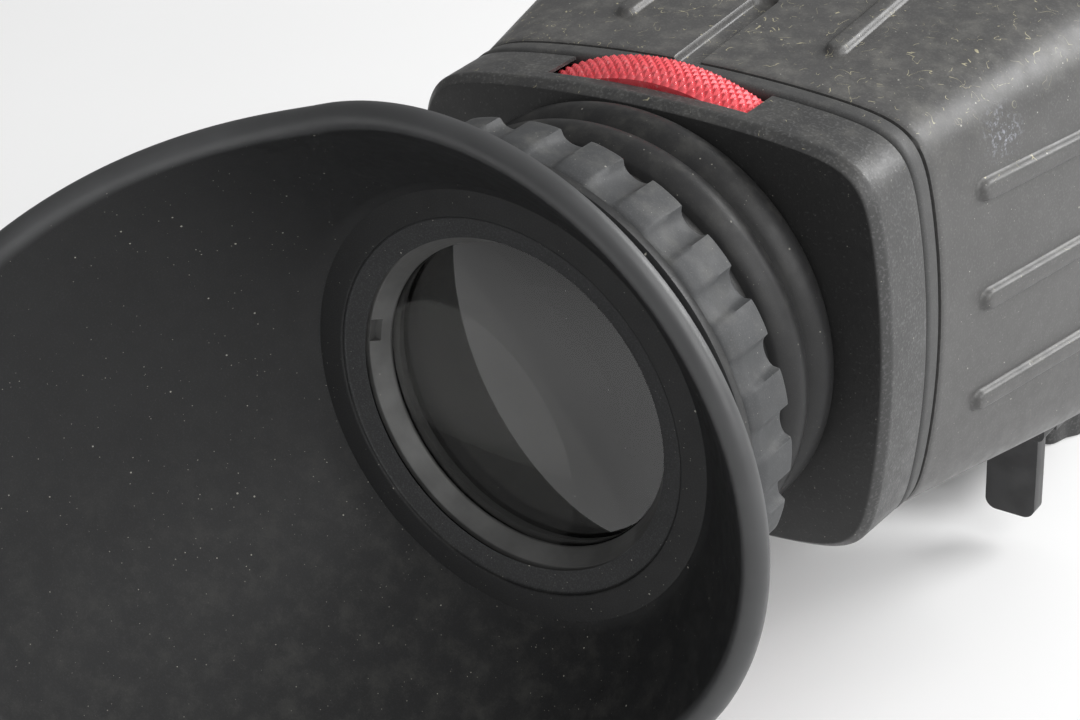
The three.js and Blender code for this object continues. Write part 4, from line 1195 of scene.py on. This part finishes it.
def make_screw(node, shank, head, head_height, heads_down=False):
    """A pan-head screw with a cross recess. Its head is at the high end of Y, or under it in Z."""
    low, high = span(node)
    middle = (low + high) / 2
    length = (high.z - low.z) if heads_down else (high.y - low.y)
    profile = [
        (0, 0), (0.55 * head, 0.02), (head, 0.4 * head_height), (head, head_height),
        (shank, head_height), (shank, length - 0.3), (0.6 * shank, length), (0, length),
    ]
    turn = Matrix.Rotation(math.radians(90 if heads_down else 180), 3, "X")
    shift = (middle.x, middle.y, low.z) if heads_down else (middle.x, high.y, middle.z)
    screw = solid(f"{node}_fine", loft(rounded(turned(profile), 0.12, steps=2), 40), turn, shift)
    arm, width, sink = 0.55 * head, 0.13 * head, 0.6 * head_height
    recess = []
    for u, v in ((arm, width), (width, arm)):
        bar = (middle.x - u, middle.x + u)
        if heads_down:
            bar += (middle.y - v, middle.y + v, low.z - THROUGH, low.z + sink)
        else:
            bar += (high.y - sink, high.y + THROUGH, middle.z - v, middle.z + v)
        recess.append(block("recess", *bar))
    dressed(combine(screw, recess, "DIFFERENCE"), node, sharp=30)


def make_discs():
    """Round plain pieces: magnets, keepers and the hinge pin."""
    for side in ("left", "right"):
        for node in (f"hood_magnet_{side}", f"frame_keeper_{side}"):
            radius, first, last, _, shift = round_node(node)
            dressed(disc(f"{node}_fine", radius, first, last, shift=shift, edge=0.15), node)
    low, high = span("hinge_pin")
    radius = (high.z - low.z) / 2
    dressed(on_hinge("hinge_pin_fine", radius, low.x, high.x, edge=0.3), "hinge_pin")


# ------------------------------------------------------------------ studio

CAMERA_PLACE = (136.9, -175.0, 126.0)
CAMERA_RIGHT = (0.8108, 0.5823, -0.0591)
CAMERA_UP = (-0.2380, 0.4203, 0.8756)
FOCAL_LENGTH = 72.3

# The surround: the direction it is brightest in, its strength there and opposite, and the
# cosines of the angles from that direction between which it changes.
BRIGHT_SIDE = (0.8, 0.1, 0.5)
BRIGHT_STRENGTH = 0.58
DIM_STRENGTH = 0.26
DIM_END = -0.5
BRIGHT_END = 0.6

# Each soft light's place and size in metres, and its power in watts.
LIGHTS = {
    "key": ((0.6, 0.7, 0.6), (0.6, 0.6), 10.5),
    "side": ((1.0, -0.25, 0.65), (1.0, 0.9), 10.5),
}
LIGHT_TARGET = (0, -0.05, 0.04)
FLOOR_HALF = 3.0


def make_camera():
    data = bpy.data.cameras.new("camera")
    data.lens = FOCAL_LENGTH
    data.sensor_width = 36.0
    data.clip_start = 0.01
    camera = bpy.data.objects.new("camera", data)
    right = Vector(CAMERA_RIGHT).normalized()
    up = Vector(CAMERA_UP)
    up = (up - right * up.dot(right)).normalized()
    back = right.cross(up)
    turn = Matrix((right, up, back)).transposed().to_4x4()
    camera.matrix_world = Matrix.Translation(in_row(*CAMERA_PLACE)) @ turn
    scene.collection.objects.link(camera)
    scene.camera = camera


def make_floor():
    low = cad_box[0].z
    size = FLOOR_HALF
    mesh = bpy.data.meshes.new("floor")
    corners = [(-size, -size, low), (size, -size, low), (size, size, low), (-size, size, low)]
    mesh.from_pydata(corners, [], [(0, 1, 2, 3)])
    floor = bpy.data.objects.new("floor", mesh)
    g = Graph("floor_look")
    cloud = g.noise(60.0, detail=3.0)
    g.set(
        Base_Color=g.mix(cloud, (0.87, 0.87, 0.87, 1), (0.89, 0.89, 0.89, 1)),
        Roughness=0.7,
        Specular_IOR_Level=0.2,
    )
    mesh.materials.append(g.material)
    scene.collection.objects.link(floor)


def area_light(name, place, size, power):
    data = bpy.data.lights.new(name, "AREA")
    data.shape = "RECTANGLE"
    data.size, data.size_y = size
    data.energy = power
    light = bpy.data.objects.new(name, data)
    light.location = place
    light.rotation_euler = (Vector(LIGHT_TARGET) - Vector(place)).to_track_quat("-Z", "Y").to_euler()
    scene.collection.objects.link(light)


def make_world():
    """A pale surround, brighter above and on the object's +X side than opposite."""
    world = bpy.data.worlds.new("studio")
    world.use_nodes = True
    tree = world.node_tree
    direction = tree.nodes.new("ShaderNodeTexCoord").outputs["Generated"]
    towards = tree.nodes.new("ShaderNodeVectorMath")
    towards.operation = "DOT_PRODUCT"
    tree.links.new(direction, towards.inputs[0])
    towards.inputs[1].default_value = Vector(BRIGHT_SIDE).normalized()
    strength = tree.nodes.new("ShaderNodeMapRange")
    strength.interpolation_type = "SMOOTHSTEP"
    tree.links.new(towards.outputs["Value"], strength.inputs["Value"])
    strength.inputs["From Min"].default_value = DIM_END
    strength.inputs["From Max"].default_value = BRIGHT_END
    strength.inputs["To Min"].default_value = DIM_STRENGTH
    strength.inputs["To Max"].default_value = BRIGHT_STRENGTH
    tree.links.new(strength.outputs["Result"], tree.nodes["Background"].inputs["Strength"])
    tree.nodes["Background"].inputs["Color"].default_value = (1.0, 1.0, 1.0, 1.0)
    scene.world = world


def make_light():
    make_world()
    for name, (place, size, power) in LIGHTS.items():
        area_light(name, place, size, power)
    scene.view_settings.view_transform = "Standard"


# ------------------------------------------------------------------ making it

make_camera()
make_lenses()
make_retaining_ring()
make_barrel()
make_eyecup()
make_collar()
make_bellows()
make_cap()
make_bead()
make_wheel()
make_hood()
make_feet()
make_rear_frame()
make_screen_frame()
make_gasket()
make_discs()
lobed_knob("camera_knob", True, lobes=7, depth=0.9, bore=3.5)
lobed_knob("height_knob", False, lobes=7, depth=0.7, bore=1.8, boss=(3.6, 84.0))
threaded_rod("camera_screw", True, pitch=1.27)
threaded_rod("height_stud", False, pitch=0.5, edge=0.3)
for count in range(1, 5):
    make_screw(f"cap_screw_{count}", shank=1.3, head=2.6, head_height=1.9)
    make_screw(f"frame_screw_{count}", shank=1.2, head=2.2, head_height=1.2)
for count in range(1, 3):
    make_screw(f"guide_screw_{count}", shank=0.9, head=1.6, head_height=0.9)
    make_screw(f"yoke_screw_{count}", shank=0.8, head=1.4, head_height=0.8, heads_down=True)
for node in ("height_yoke", "guide_block", "camera_bracket"):
    refined(node, 0.35)
refined("camera_pad", 0.4)
for node, piece in frame["nodes"].items():
    if not piece.hide_render:
        piece.data.materials.clear()
        piece.data.materials.append(LOOKS[SLOT_OF[node]])
make_floor()
make_light()
